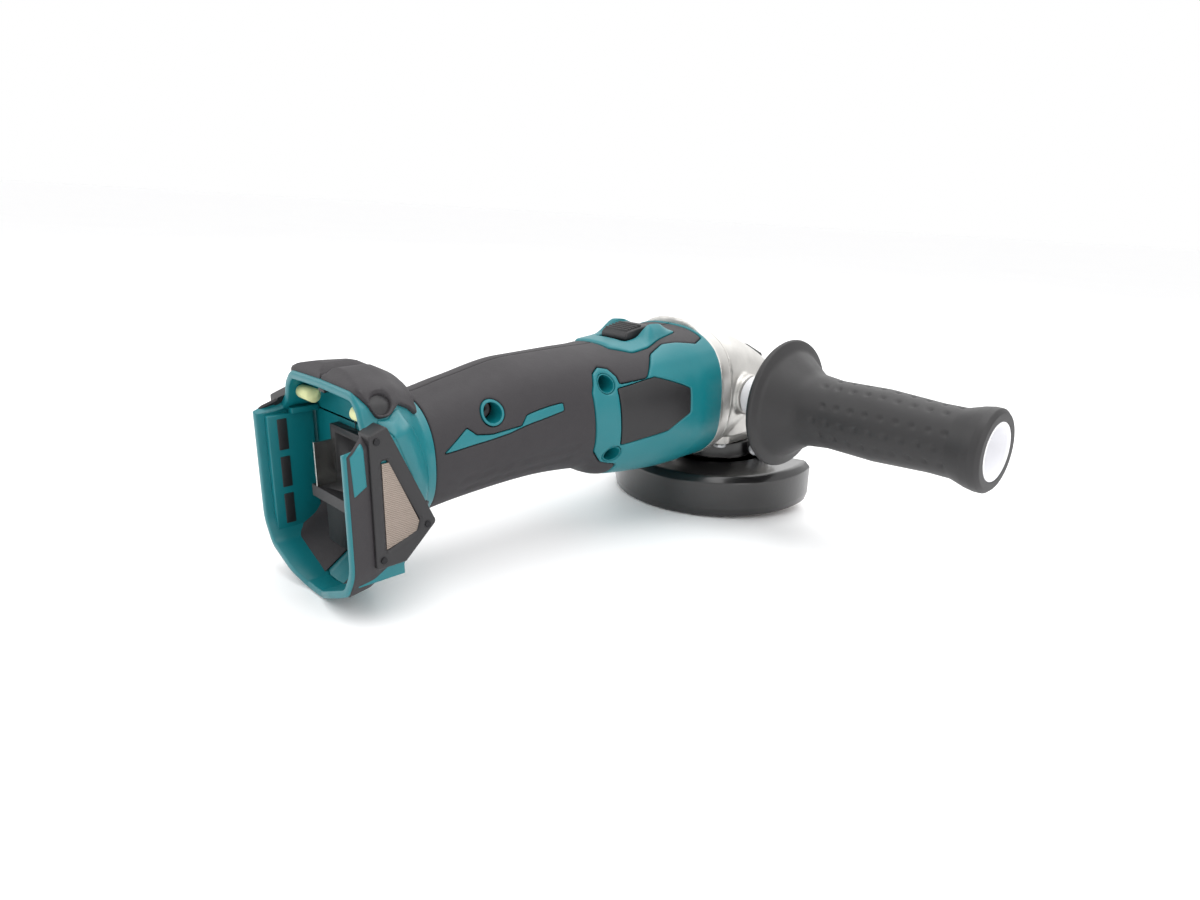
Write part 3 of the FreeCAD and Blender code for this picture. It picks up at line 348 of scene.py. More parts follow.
class Skin:
    def __init__(self, sections):
        table = np.array(sections, float)
        self.y, self.values = table[:, 0], table[:, 1:]
        gap = np.diff(self.y)[:, None]
        rate = np.diff(self.values, axis=0) / gap
        slope = np.zeros_like(self.values)
        both = rate[:-1] * rate[1:]
        slope[1:-1] = np.where(both > 0, 2 * both / (rate[:-1] + rate[1:] + 1e-12), 0)
        slope[0], slope[-1] = rate[0], rate[-1]
        self.slope = slope

    def at(self, y):
        y = np.clip(y, self.y[0], self.y[-1])
        i = np.clip(np.searchsorted(self.y, y, "right") - 1, 0, len(self.y) - 2)
        h = (self.y[i + 1] - self.y[i])[:, None]
        t = (y - self.y[i])[:, None] / h
        a, b, m, n = self.values[i], self.values[i + 1], self.slope[i] * h, self.slope[i + 1] * h
        return (a * (2 * t ** 3 - 3 * t ** 2 + 1) + m * (t ** 3 - 2 * t ** 2 + t)
                + b * (3 * t ** 2 - 2 * t ** 3) + n * (t ** 3 - t ** 2)).T

    def arcs(self, y, steps=121):        # half sections from the top to the bottom, and their lengths
        low, top, half, power = self.at(y)
        turn = np.linspace(0, math.pi, steps)[None, :]
        c, s = np.cos(turn), np.sin(turn)
        p = (2 / power)[:, None]
        x = half[:, None] * np.abs(s) ** p
        z = ((low + top) / 2)[:, None] + ((top - low) / 2)[:, None] * np.sign(c) * np.abs(c) ** p
        run = np.concatenate([np.zeros((len(y), 1)), np.cumsum(np.hypot(np.diff(x), np.diff(z)), 1)], 1)
        return x, z, run

    def level(self, x, y, z):
        low, top, half, power = self.at(y)
        return (np.abs(x) / half) ** power + (np.abs(z - (low + top) / 2) * 2 / (top - low)) ** power

    def place(self, y, s, lift):         # s runs down from the top line, to the right if positive
        y, s, lift = (np.asarray(v, float) for v in (y, s, lift))
        x, z, run = self.arcs(y)
        side, s = np.where(s < 0, -1.0, 1.0), np.minimum(np.abs(s), run[:, -1])
        i = np.clip((run < s[:, None]).sum(1) - 1, 0, run.shape[1] - 2)
        rows = np.arange(len(y))
        t = (s - run[rows, i]) / (run[rows, i + 1] - run[rows, i] + 1e-9)
        px = (x[rows, i] + t * (x[rows, i + 1] - x[rows, i])) * side
        pz = z[rows, i] + t * (z[rows, i + 1] - z[rows, i])
        e = 0.05
        slope = np.stack([self.level(px + e, y, pz) - self.level(px - e, y, pz),
                          self.level(px, y + e, pz) - self.level(px, y - e, pz),
                          self.level(px, y, pz + e) - self.level(px, y, pz - e)], 1)
        slope /= np.linalg.norm(slope, axis=1)[:, None] + 1e-12
        return np.stack([px, y, pz], 1) + slope * lift[:, None]

    def down(self, y, z):                # arc length at which the right side reaches height z
        y, z = np.atleast_1d(np.asarray(y, float)), np.atleast_1d(np.asarray(z, float))
        x, heights, run = self.arcs(y)
        i = np.clip((heights > z[:, None]).sum(1) - 1, 0, heights.shape[1] - 2)
        rows = np.arange(len(y))
        t = (heights[rows, i] - z) / (heights[rows, i] - heights[rows, i + 1] + 1e-9)
        return run[rows, i] + t * (run[rows, i + 1] - run[rows, i])

    def reach(self, y):
        return self.arcs(np.atleast_1d(np.asarray(y, float)))[2][:, -1]


skin = Skin(barrel)


def fillet(corners, radius=2.0, step=1.0):
    # a closed outline through corners (u, v) or (u, v, own radius), with round corners
    ring = []
    count = len(corners)
    for k in range(count):
        own = corners[k][2] if len(corners[k]) > 2 else radius
        p, before, after = (np.array(corners[j][:2], float) for j in (k, k - 1, (k + 1) % count))
        a, b = before - p, after - p
        la, lb = np.linalg.norm(a), np.linalg.norm(b)
        a, b = a / la, b / lb
        half = math.acos(max(-1, min(1, float(a @ b)))) / 2
        cut = min(own / max(math.tan(half), 0.05), la * 0.48, lb * 0.48)
        start, end = p + a * cut, p + b * cut
        pieces = max(2, int(cut / 0.5) + 2) if own > 0 and half < 1.5 else 1
        for t in np.linspace(0, 1, pieces + 1):
            ring.append((1 - t) ** 2 * start + 2 * t * (1 - t) * p + t * t * end)
    return resample(np.array(ring), step)


def resample(ring, step):
    keep = [ring[0]]
    for p in list(ring[1:]) + [ring[0]]:
        gap = np.linalg.norm(p - keep[-1])
        if gap < 0.12:
            continue
        parts = max(1, math.ceil(gap / step))
        start = keep[-1]
        keep += [start + (p - start) * t / parts for t in range(1, parts + 1)]
    return np.array(keep[:-1] if np.linalg.norm(keep[-1] - keep[0]) < 0.12 else keep)


def circle(u, v, radius, count=36):
    turn = np.arange(count) * 2 * math.pi / count
    return np.stack([u + radius * np.cos(turn), v + radius * np.sin(turn)], 1)


def signedArea(ring):
    nextOne = np.roll(ring, -1, 0)
    return 0.5 * float((ring[:, 0] * nextOne[:, 1] - nextOne[:, 0] * ring[:, 1]).sum())


def inward(ring, d):
    before, after = np.roll(ring, 1, 0), np.roll(ring, -1, 0)
    a, b = ring - before, after - ring
    a /= np.linalg.norm(a, axis=1)[:, None] + 1e-12
    b /= np.linalg.norm(b, axis=1)[:, None] + 1e-12
    normal = np.stack([-(a + b)[:, 1], (a + b)[:, 0]], 1)
    normal /= np.linalg.norm(normal, axis=1)[:, None] + 1e-12
    along = np.clip((normal * np.stack([-a[:, 1], a[:, 0]], 1)).sum(1), 0.6, 1)
    return ring + normal * (d / along)[:, None]


def insideOf(points, ring):
    x, y = points[:, 0][:, None], points[:, 1][:, None]
    x0, y0 = ring[:, 0][None, :], ring[:, 1][None, :]
    x1, y1 = np.roll(ring, -1, 0)[:, 0][None, :], np.roll(ring, -1, 0)[:, 1][None, :]
    cross = ((y0 > y) != (y1 > y)) & (x < (x1 - x0) * (y - y0) / (y1 - y0 + 1e-12) + x0)
    return cross.sum(1) % 2 == 1


def nearest(points, rings):
    best = np.full(len(points), 1e9)
    for ring in rings:
        for chunk in range(0, len(points), 2000):
            part = points[chunk:chunk + 2000]
            gap = np.linalg.norm(part[:, None, :] - ring[None, :, :], axis=2).min(1)
            best[chunk:chunk + 2000] = np.minimum(best[chunk:chunk + 2000], gap)
    return best


def relief(name, loops, place, body, slotName, nodes=(), lift=0.0, depth=2.0, edge=0.8, spacing=2.0,
           gap=0.15, height=None, finish=None, sharp=40, sink=None):
    # a moulded skin panel: outline and holes in (u, v), laid on a surface, with rounded edges all round
    rings = []
    for k, ring in enumerate(loops):
        ring = np.array(ring, float)
        if (signedArea(ring) > 0) != (k == 0):
            ring = ring[::-1]
        rings.append(inward(ring, gap))
    steps = [0.0, 0.1, 0.3, 0.6, 1.0]
    points, depths, borders = [], [], []
    for ring in rings:
        first = sum(len(p) for p in points)
        for step in steps:
            points.append(inward(ring, step * edge) if step else ring)
            depths.append(np.full(len(ring), step * edge))
        borders.append((first, len(ring)))
    low, high = rings[0].min(0), rings[0].max(0)
    nu, nv = (int((high - low)[i] / spacing) + 2 for i in (0, 1))
    grid = np.array([(low[0] + (i + 0.5 * (j % 2)) * spacing, low[1] + j * spacing)
                     for i in range(nu) for j in range(nv)])
    keep = insideOf(grid, rings[0])
    for ring in rings[1:]:
        keep &= ~insideOf(grid, ring)
    grid = grid[keep]
    far = nearest(grid, rings) if len(grid) else np.zeros(0)
    grid, far = grid[far > edge + spacing * 0.4], far[far > edge + spacing * 0.4]
    flat = np.concatenate(points + [grid])
    away = np.concatenate(depths + [far])
    edges = [(a + i, a + (i + 1) % n) for a, n in borders for i in range(n)]
    flat, once = np.unique(np.round(flat, 4), axis=0, return_inverse=True)
    first = np.zeros(len(flat), int)
    first[once.ravel()[::-1]] = np.arange(len(away))[::-1]
    edges = [(int(once.ravel()[i]), int(once.ravel()[j])) for i, j in edges]
    away = away[first]
    verts2, _, faces, source, _, _ = delaunay_2d_cdt([Vector(p) for p in flat], edges, [], 0, 1e-5)
    away = away[[s[0] if s else 0 for s in source]]
    flat = np.array([tuple(v) for v in verts2])
    centre = flat[np.array(faces)].mean(1)
    keep = insideOf(centre, rings[0])
    for ring in rings[1:]:
        keep &= ~insideOf(centre, ring)
    faces = [f for f, kept in zip(faces, keep) if kept]
    drop = edge - np.sqrt(np.maximum(edge ** 2 - (edge - np.minimum(away, edge)) ** 2, 0))
    rise = lift - drop
    if height is not None:
        rise = rise + height(flat[:, 0], flat[:, 1], nearest(flat, rings))
    top = place(flat[:, 0], flat[:, 1], rise)
    bottom = place(flat[:, 0], flat[:, 1], np.full(len(flat), -depth))
    if sink is not None:
        bottom = sink(top)
    count = len(flat)
    verts = np.concatenate([top, bottom])
    solid = [tuple(f) for f in faces] + [tuple(count + i for i in reversed(f)) for f in faces]
    shared = {}
    for f in faces:
        for i in range(len(f)):
            shared[(f[i], f[(i + 1) % len(f)])] = True
    for a, b in shared:
        if (b, a) not in shared:
            solid.append((b, a, count + a, count + b))
    return recalc(piece(name, verts, solid, body, slotName, nodes, finish, sharp))


def pair(name, loops, slotName, nodeStem=None, place=skin.place, **look):
    # the same panel on the right and, mirrored, on the left
    nodes = [(nodeStem + side,) if nodeStem else () for side in ("_right", "_left")]
    made = relief(name + "Right", loops, place, "tool_body", slotName, nodes[0], **look)
    mirror(made, name + "Left", "tool_body", slotName, nodes[1])


# Grip covers and head shells
barrelLook = {"seam": 0.1, "neckEnd": -209.5, "front": -43.3, "skinDepth": 1.6, "shellDepth": 2.6}
bezelEdge = [(-101.6, 12.5, 3), (-93.2, 20.5, 5), (-82, 20.6, 5), (-70.4, 17, 6), (-55.6, 14.2, 1.2)]
knobHole = {"back": -89.2, "front": -55.2, "half": 10.2}


def onSide(y, z, radius=2.0):
    return (y, float(skin.down(y, z)[0]), radius)


def bottomAt(y):
    return float(skin.reach(y)[0]) - barrelLook["seam"]


recessSpots = {"grip": (-179.2, 76.3), "headUpper": (-116.1, 80.2), "headLower": (-112.2, 44.6)}


def ringOnSide(spot, radius, count=40):
    ring = circle(*recessSpots[spot], radius, count)
    return np.stack([ring[:, 0], skin.down(ring[:, 0], ring[:, 1])], 1)


# the line where the rubber meets the hard shell, from the top front edge down to the belly
shellLine = ([(-45.6, 24.5, 1.5), onSide(-53.2, 91.7, 1.5), onSide(-64.6, 93.2, 4), onSide(-73.5, 93.1, 4),
              onSide(-84.5, 89.8, 4), onSide(-92.8, 80.3, 3), onSide(-108.6, 79.4, 1)]
             + [onSide(-116.1 + 7.4 * math.cos(a), 80.2 + 7.4 * math.sin(a), 0.8)
                for a in (0.35, 1.0, 1.7, 2.4, 3.1)]
             + [onSide(-125.2, 77.0, 2), onSide(-124.6, 69, 6), onSide(-123.6, 58, 8), onSide(-122.4, 47.5, 3),
                onSide(-116.5, 40.6, 1.5), onSide(-107.5, 38.0, 3)])
coverEdge = ([(barrelLook["neckEnd"], barrelLook["seam"], 0.3), (-101.4, barrelLook["seam"], 0.3)]
             + bezelEdge
             + [(-58.5, 10.6, 1), (-70, 9.8, 0.6), (-70, barrelLook["seam"], 0.3)]
             + [(-45.6, barrelLook["seam"], 0.3)]
             + shellLine
             + [(-105.5, bottomAt(-105.5), 0.3)]
             + [(y, bottomAt(y), 0) for y in (-112, -120, -132, -150, -170, -190)]
             + [(barrelLook["neckEnd"], bottomAt(barrelLook["neckEnd"]), 0.3)])
inlayEdge = [onSide(-205, 63.6, 0.4), onSide(-192.8, 72.2, 1), onSide(-188.6, 68.6, 1), onSide(-180.5, 67.4, 1),
             onSide(-165.8, 68.6, 1), onSide(-162.8, 72.9, 1), onSide(-150, 75.0, 3), onSide(-142.6, 75.4, 1.2),
             onSide(-142.4, 71.7, 1.2), onSide(-156, 69.6, 4), onSide(-172, 66.4, 6), onSide(-190, 64.6, 4)]
grooves = [  # shallow lines pressed in the lower part of the grip: start and end as (y, z), half width
    ((-196, 49.5), (-133, 53.0), 0.55), ((-196, 44.2), (-136, 47.2), 0.55)]


def pressed(y, s, away):                 # grooves pressed into the lower panel
    spots = skin.place(y, s, np.zeros(len(y)))
    dip = np.zeros(len(y))
    for (y0, z0), (y1, z1), half in grooves:
        t = np.clip((spots[:, 1] - y0) / (y1 - y0), 0, 1)
        gap = np.hypot(spots[:, 1] - (y0 + t * (y1 - y0)), spots[:, 2] - (z0 + t * (z1 - z0)))
        dip -= 0.55 * (1 - smoothStep(gap / (2.2 * half)))
    return dip


pair("gripCover", [fillet(coverEdge, 1.5, 1.4), ringOnSide("grip", 5.6), fillet(inlayEdge, 1, 1.0)],
     "grip_rubber", "grip_overmold", depth=1.5, edge=0.9, spacing=1.7, height=pressed)

shellEdge = (shellLine + [(-104.6, bottomAt(-104.6), 0.3)]
             + [(y, bottomAt(y), 0) for y in (-95, -85, -75, -65, -55)]
             + [(barrelLook["front"], bottomAt(-43.3), 0.3), (barrelLook["front"], barrelLook["seam"], 0.3),
                (-45.6, barrelLook["seam"], 0.3)])
labelEdge = [onSide(-110.6, 77.4, 1), onSide(-88.3, 80.4, 1.5), onSide(-66.8, 72.2, 1.5),
             onSide(-66.6, 59.6, 1.5), onSide(-81.5, 52.6, 1.5), onSide(-109.2, 49.4, 1)]


def shellForm(y, s, away):               # soft swell behind the ring, and a flat field under the label
    spots = skin.place(y, s, np.zeros(len(y)))
    z = spots[:, 2]
    swell = 0.9 * smoothStep((y + 66) / 10) * smoothStep((z - 30) / 12) * smoothStep((93 - z) / 10)
    crease = 0.7 * smoothStep((z - 83 - (y + 84) * 0.05) / 2.5) * smoothStep((y + 92) / 4)
    step = -0.8 * smoothStep((y + 62) / 3) * smoothStep((43 - z) / 5)
    return swell + crease * 0.6 + step * 0.5


pair("headShell", [fillet(shellEdge, 1.5, 1.4), ringOnSide("headUpper", 4.6), ringOnSide("headLower", 4.3),
                   fillet(labelEdge, 1, 1.2)],
     "teal_plastic", "housing", depth=2.6, edge=0.9, spacing=1.6, height=shellForm)
pair("labelPlate", [fillet(labelEdge, 1, 1.2)], "label_film", "label_plate", lift=-0.1, depth=2.2, edge=0.3)
pair("gripInlay", [fillet(inlayEdge, 1, 1.0)], "teal_plastic", "grip_inlay", lift=-0.1, depth=1.5, edge=0.4,
     spacing=1.6, gap=0.12)


def deep(x):                             # walls of a recess run straight inwards to x
    def sink(top):
        flat = top.copy()
        flat[:, 0] = x
        return flat
    return sink


for spot, outer, inner, lift in (("grip", 5.45, 4.3, 0.05), ("headUpper", 4.55, 4.0, -0.5),
                                 ("headLower", 4.25, 3.7, -0.5)):
    pair(spot + "Rim", [ringOnSide(spot, outer), ringOnSide(spot, inner)], "teal_plastic", lift=lift, edge=0.25,
         spacing=3.0, gap=0.0, sink=deep(15.0))
print("barrel skins made")

# Raised rim round the slide switch
bezelHalf = ([(-101.3, 0.0, 0.2)] + bezelEdge
             + [(-58.2, 10.9, 1), (-66, knobHole["half"] + 0.1, 1), (knobHole["back"], knobHole["half"], 1.5)])
bezelLoop = bezelHalf + [(y, -s, r) for y, s, r in reversed(bezelHalf[1:])]


def bezelForm(y, s, away):               # two arms that rise beside the knob and run out forwards
    crest = 5.4 * smoothStep((y + 84) / 11) * (1 - smoothStep((y + 66) / 11.5)) + 0.5
    slope = smoothStep((20.5 - np.abs(s) - np.clip((y + 82) * 0.22, 0, 6)) / 7.0)
    return crest * slope * smoothStep(away / 1.6)


relief("switchBezel", [fillet(bezelLoop, 1.5, 0.9)], skin.place, "tool_body", "teal_plastic", ("switch_bezel",),
       lift=0.5, depth=3.5, edge=0.7, spacing=0.9, gap=0.1, height=bezelForm)

# floor of the well that the knob slides in
wellDepth = 3.4
wellLoop = [(knobHole["back"] - 0.5, -knobHole["half"] - 0.6), (-54, -knobHole["half"] - 0.6),
            (-54, knobHole["half"] + 0.6), (knobHole["back"] - 0.5, knobHole["half"] + 0.6)]
relief("switchWell", [fillet(wellLoop, 1.0, 1.5)], lambda y, s, lift: skin.place(y, s, lift - wellDepth),
       "tool_body", "black_plastic", depth=0.8, edge=0.2, spacing=2.5, gap=0.0)

knobLook = {"back": -86.6, "front": -62.4, "half": 8.9, "low": 94.3, "ribs": 5, "pitch": 2.3, "ribHigh": 0.8}


def prismPiece(name, outline, low, high, body, slotName, nodes=(), bevel=0.8, steps=3, axis="X", finish=None):
    # an outline in the plane across an axis, given thickness along it, with all edges rounded
    ring = np.array(outline, float)
    work = bmesh.new()
    ends = []
    for level in (low, high):
        corner = {"X": lambda p: (level, p[0], p[1]), "Y": lambda p: (p[0], level, p[1]),
                  "Z": lambda p: (p[0], p[1], level)}[axis]
        ends.append([work.verts.new(Vector(corner(p)) * mm) for p in ring])
    count = len(ring)
    for i in range(count):
        j = (i + 1) % count
        work.faces.new((ends[0][i], ends[0][j], ends[1][j], ends[1][i]))
    work.faces.new(list(reversed(ends[0])))
    work.faces.new(ends[1])
    bmesh.ops.recalc_face_normals(work, faces=work.faces)
    if bevel:
        hard = [e for e in work.edges if e.calc_face_angle(0) > 0.35]
        bmesh.ops.bevel(work, geom=hard, offset=bevel * mm, segments=steps, profile=0.5, affect="EDGES",
                        clamp_overlap=True)
    return wear(name, settled(work, name), body, slotName, nodes, finish, 40)


def gather(name, items, body, slotName, nodes=(), finish=None, sharp=40):
    # joins finished pieces into one piece
    work = bmesh.new()
    for item in items:
        work.from_mesh(item.data)
        old = item.data
        bpy.data.objects.remove(item)
        bpy.data.meshes.remove(old)
    return wear(name, settled(work, name), body, slotName, nodes, finish, sharp)


k = knobLook
knobSide = [(k["back"], k["low"]), (k["back"] + 0.2, 96.9), (k["back"] + 1.8, 98.6), (k["back"] + 7, 99.5),
            (k["back"] + 15, 100.5), (k["front"] - 6, 100.4), (k["front"] - 1.6, 99.0), (k["front"], 96.0),
            (k["front"], k["low"])]
parts = [prismPiece("knobBody", knobSide, -k["half"], k["half"], "switch_knob", "black_plastic", bevel=1.1)]
for i in range(k["ribs"]):
    y = k["back"] + 2.6 + i * k["pitch"]
    top = 98.8 + 0.17 * (y - k["back"] - 1.8)
    rib = [(y - 0.65, top - 1.2), (y - 0.45, top + k["ribHigh"] * 0.8), (y + 0.45, top + k["ribHigh"]),
           (y + 0.75, top - 1.2)]
    parts.append(prismPiece("knobRib", rib, -k["half"] + 1.0, k["half"] - 1.0, "switch_knob", "black_plastic",
                            bevel=0.3, steps=2))
gather("switchKnob", parts, "switch_knob", "black_plastic", ("switch_knob",))
print("slide switch made")


# Lathe work
def lathe(name, profile, origin, axis, body, slotName, nodes=(), steps=96, sweep=360.0, start=0.0, smooth=0.5,
          finish=None, form=None, sharp=32):
    # profile of (radius, height) corners, each with an optional rounding radius, turned about an axis
    line = softened(profile, smooth)
    full = abs(sweep - 360) < 0.01
    count = steps if full else steps + 1
    turn = np.radians(start + sweep * np.arange(count) / steps)
    verts = []
    for a in turn:
        for r, h in line:
            verts.append((r, a, h))
    verts = np.array(verts)
    if form is not None:
        verts = form(verts)
    r, a, h = verts.T
    local = {"Z": (r * np.cos(a), r * np.sin(a), h), "X": (h, r * np.cos(a), r * np.sin(a)),
             "Y": (r * np.sin(a), h, r * np.cos(a))}[axis]
    verts = np.stack(local, 1) + np.array(origin, float)
    n = len(line)
    faces = []
    for i in range(count if full else steps):
        j = (i + 1) % count
        for p in range(n):
            q = (p + 1) % n
            faces.append((i * n + p, j * n + p, j * n + q, i * n + q))
    if not full:
        faces += [tuple(range(n)), tuple(steps * n + p for p in reversed(range(n)))]
    made = piece(name, verts, faces, body, slotName, nodes, finish, sharp)
    work = bmesh.new()
    work.from_mesh(made.data)
    bmesh.ops.remove_doubles(work, verts=work.verts, dist=0.000003)
    bmesh.ops.dissolve_degenerate(work, dist=0.000001, edges=work.edges)
    bmesh.ops.recalc_face_normals(work, faces=work.faces)
    work.to_mesh(made.data)
    work.free()
    made.data.polygons.foreach_set("use_smooth", [True] * len(made.data.polygons))
    made.data.set_sharp_from_angle(angle=math.radians(sharp))
    return made


def softened(profile, radius):
    out = []
    count = len(profile)
    for k in range(count):
        own = profile[k][2] if len(profile[k]) > 2 else radius
        p, before, after = (np.array(profile[j][:2], float) for j in (k, k - 1, (k + 1) % count))
        a, b = before - p, after - p
        la, lb = np.linalg.norm(a), np.linalg.norm(b)
        if own <= 0 or la < 1e-6 or lb < 1e-6 or p[0] < 1e-6:
            out.append(tuple(p))
            continue
        a, b = a / la, b / lb
        half = math.acos(max(-1, min(1, float(a @ b)))) / 2
        cut = min(own / max(math.tan(half), 0.05), la * 0.48, lb * 0.48)
        steps = 3 if own <= 1 else 6
        for t in np.linspace(0, 1, steps + 1):
            q = (1 - t) ** 2 * (p + a * cut) + 2 * t * (1 - t) * p + t * t * (p + b * cut)
            out.append(tuple(q))
    return out


def subdivided(profile, step):
    out = []
    for p, q in zip(profile, profile[1:] + profile[:1]):
        parts = max(1, math.ceil(math.dist(p[:2], q[:2]) / step))
        out.append(tuple(p))
        out += [(p[0] + (q[0] - p[0]) * t / parts, p[1] + (q[1] - p[1]) * t / parts, 0)
                for t in range(1, parts)]
    return out


# Side handle
handle = {"at": (0, -21, 62), "flange": 62.5, "rim": 33.2, "grip": 17.2, "end": 171.8, "flare": 19.2, "cup": 12.0,
          "boss": 40.3, "core": 10.5}
h = handle
f0 = h["flange"]
gripOuter = [(h["core"] + 0.1, f0 - 4.5, 0.4), (h["core"] + 4, f0 - 4.6, 0.6), (h["rim"] - 6, f0 - 3.3, 3),
             (h["rim"] - 1.2, f0 - 1.6, 1), (h["rim"], f0 + 0.2, 0.8), (h["rim"] - 0.5, f0 + 1.6, 1),
             (h["rim"] - 5.5, f0 + 3.4, 5), (h["grip"] + 7, f0 + 8.5, 8), (h["grip"] + 1.4, f0 + 17, 12),
             (h["grip"] - 0.1, f0 + 30, 14), (h["grip"] + 0.5, f0 + 55, 20), (h["grip"] - 1.0, f0 + 82, 12),
             (h["grip"] - 0.9, f0 + 93, 8), (h["flare"] - 0.7, h["end"] - 9, 6), (h["flare"], h["end"] - 5, 2),
             (h["flare"] - 0.1, h["end"] - 1.8, 1), (h["flare"] - 1.8, h["end"] - 0.1, 1),
             (h["cup"] + 1.5, h["end"] - 0.1, 0.5), (h["cup"] + 1.5, h["end"] - 16, 1),
             (h["core"] + 0.1, h["end"] - 20, 1)]
dimples = {"columns": 9, "first": f0 + 27, "pitch": 7.6, "radius": 1.25, "deep": 0.7,
           "rows": [(118, 0), (92, 0.5), (66, 0), (-8, 0), (-34, 0.5), (-60, 0), (180, 0), (206, 0.5),
                    (154, 0.5)]}


def dimpled(verts):                      # small dents in staggered rows along the grip
    r, a, x = verts.T
    d = dimples
    outer = (r > h["grip"] - 3) & (x > d["first"] - 6) & (x < h["end"] - 14)
    dent = np.zeros(len(r))
    for angle, offset in d["rows"]:
        for i in range(d["columns"]):
            at = d["first"] + (i + offset) * d["pitch"]
            turn = (a - math.radians(angle) + math.pi) % (2 * math.pi) - math.pi
            gap = np.hypot(turn * r, x - at)
            dent = np.maximum(dent, 1 - smoothStep(gap / (1.7 * d["radius"])))
    return np.stack([r - dent * d["deep"] * outer, a, x], 1)


lathe("handleGrip", subdivided(softened(gripOuter, 0.5), 0.9), h["at"], "X", "tool_body", "handle_rubber",
      ("handle_grip",), steps=150, smooth=0, form=dimpled, sharp=50)
coreProfile = [(0, h["end"] - 15.5, 0), (h["cup"] - 5, h["end"] - 15, 3), (h["cup"] - 0.9, h["end"] - 13, 1),
               (h["cup"], h["end"] - 0.9, 0.3), (h["cup"] + 0.6, h["end"] - 0.1, 0.3),
               (h["cup"] + 1.45, h["end"] - 0.15, 0.2),
               (h["cup"] + 1.4, h["end"] - 16, 1), (h["core"], h["end"] - 20, 1),
               (h["core"], h["boss"] + 0.8, 0.7), (h["core"] - 0.8, h["boss"], 0.5),
               (4.1, h["boss"], 0.2), (4.1, h["boss"] + 10, 0),
               (0, h["boss"] + 10, 0)]
lathe("handleCore", coreProfile, h["at"], "X", "tool_body", "white_plastic", ("handle_core",), steps=72)
print("side handle made")

# Guard and wheel
guard = {"outer": 58.5, "rim": 54.6, "metal": 1.6, "top": 19.8, "low": -3.0, "collar": 23.2, "turned": 19.0}
g = guard
skirt = [(g["collar"] - 0.4, g["top"], 0), (g["outer"] - 3.2, g["top"], 3.4), (g["outer"], g["top"] - 3.4, 1.6),
         (g["outer"], 1.4, 1), (g["outer"] - 0.6, g["low"] + 0.6, 1.2), (g["outer"] - 2.0, g["low"], 0.8),
         (g["rim"], g["low"] + 0.3, 0.4), (g["rim"] + 0.1, g["low"] + 1.4, 0.4),
         (g["outer"] - 2.4, g["low"] + 1.8, 1),
         (g["outer"] - g["metal"], 2.2, 1), (g["outer"] - g["metal"], g["top"] - 4, 1.5),
         (g["outer"] - 4, g["top"] - g["metal"], 1.5), (g["collar"] - 0.4, g["top"] - g["metal"], 0)]


def guardCut(verts):                     # the free ends of the skirt lean back and round off towards the rim
    r, a, z = verts.T
    a0, a1 = math.radians(g["turned"] - 180), math.radians(g["turned"])
    t = (a - a0) / (a1 - a0)
    trim = math.radians(5.5) * smoothStep((5 - z) / 9) ** 1.5 * (r > 50)
    near = np.clip(1 - t / 0.14, 0, 1) * trim - np.clip(1 - (1 - t) / 0.14, 0, 1) * trim
    return np.stack([r, a + near, z], 1)


lathe("guardSkirt", skirt, (0, 0, 0), "Z", "guard", "guard_paint", ("wheel_guard",), steps=144, sweep=180.0,
      start=g["turned"] - 180, form=guardCut, sharp=40)
collarRing = [(g["collar"], g["top"] - 1.6, 0.3), (g["collar"] + 9, g["top"] - 1.6, 0.3),
              (g["collar"] + 9, g["top"], 0.6), (g["collar"] + 0.6, g["top"], 1.2),
              (g["collar"] + 0.2, 28.2, 0.8), (g["collar"] - 2.0, 28.2, 0.4),
              (g["collar"] - 2.0, g["top"] - 1.6, 0.4)]
lathe("guardCollar", collarRing, (0, 0, 0), "Z", "guard", "guard_paint", steps=96)
turnLug = math.radians(g["turned"])
for k, (low, high) in enumerate(((-6.5, -1.1), (1.1, 6.5))):
    lug = [(g["collar"] - 1, low), (g["collar"] + 9, low), (g["collar"] + 9, high), (g["collar"] - 1, high)]
    ring = [(x * math.cos(turnLug) - y * math.sin(turnLug), x * math.sin(turnLug) + y * math.cos(turnLug))
            for x, y in lug]
    prismPiece(f"guardLug{k}", ring, g["top"] + 0.2, 27.4, "guard", "guard_paint", bevel=0.6, axis="Z")

wheel = {"radius": 52.5, "low": -0.5, "high": 5.5, "bore": 8.0, "hub": 21.0}
w = wheel
disc = [(w["bore"], 5.5, 0.2), (w["hub"] - 1, 5.5, 1), (w["hub"] + 5, w["low"], 2),
        (w["radius"], w["low"], 0.5), (w["radius"], w["high"], 0.5), (w["hub"] + 8, w["high"], 2),
        (w["hub"] + 3, 10.5, 2), (w["bore"], 10.5, 0.2)]
lathe("grindingWheel", disc, (0, 0, 0), "Z", "spindle", "abrasive", ("grinding_wheel",), steps=144)
print("guard and wheel made")


# Cast parts: the CAD solids, welded, remeshed and softened, so that their edges are cast radii
def cast(node, name, voxel, rounds, finish=None):
    made = bpy.data.objects.new(name, settled(merged(node), name))
    scene.collection.objects.link(made)
    remesh = made.modifiers.new("remesh", "REMESH")
    remesh.mode, remesh.voxel_size, remesh.adaptivity = "VOXEL", voxel * mm, 0.0
    soft = made.modifiers.new("soft", "CORRECTIVE_SMOOTH")
    soft.iterations, soft.use_only_smooth, soft.factor = rounds, True, 0.5
    graph = bpy.context.evaluated_depsgraph_get()
    done = bpy.data.meshes.new_from_object(made.evaluated_get(graph))
    done.name = name
    bpy.data.objects.remove(made)
    return wear(name, done, bodyOf(node), nodeSlot[node], (node,), finish, 60)


cast("gear_housing", "gearHousing", 0.8, 5)
cast("gear_housing_cover", "gearHousingCover", 0.75, 4)
print("castings made")

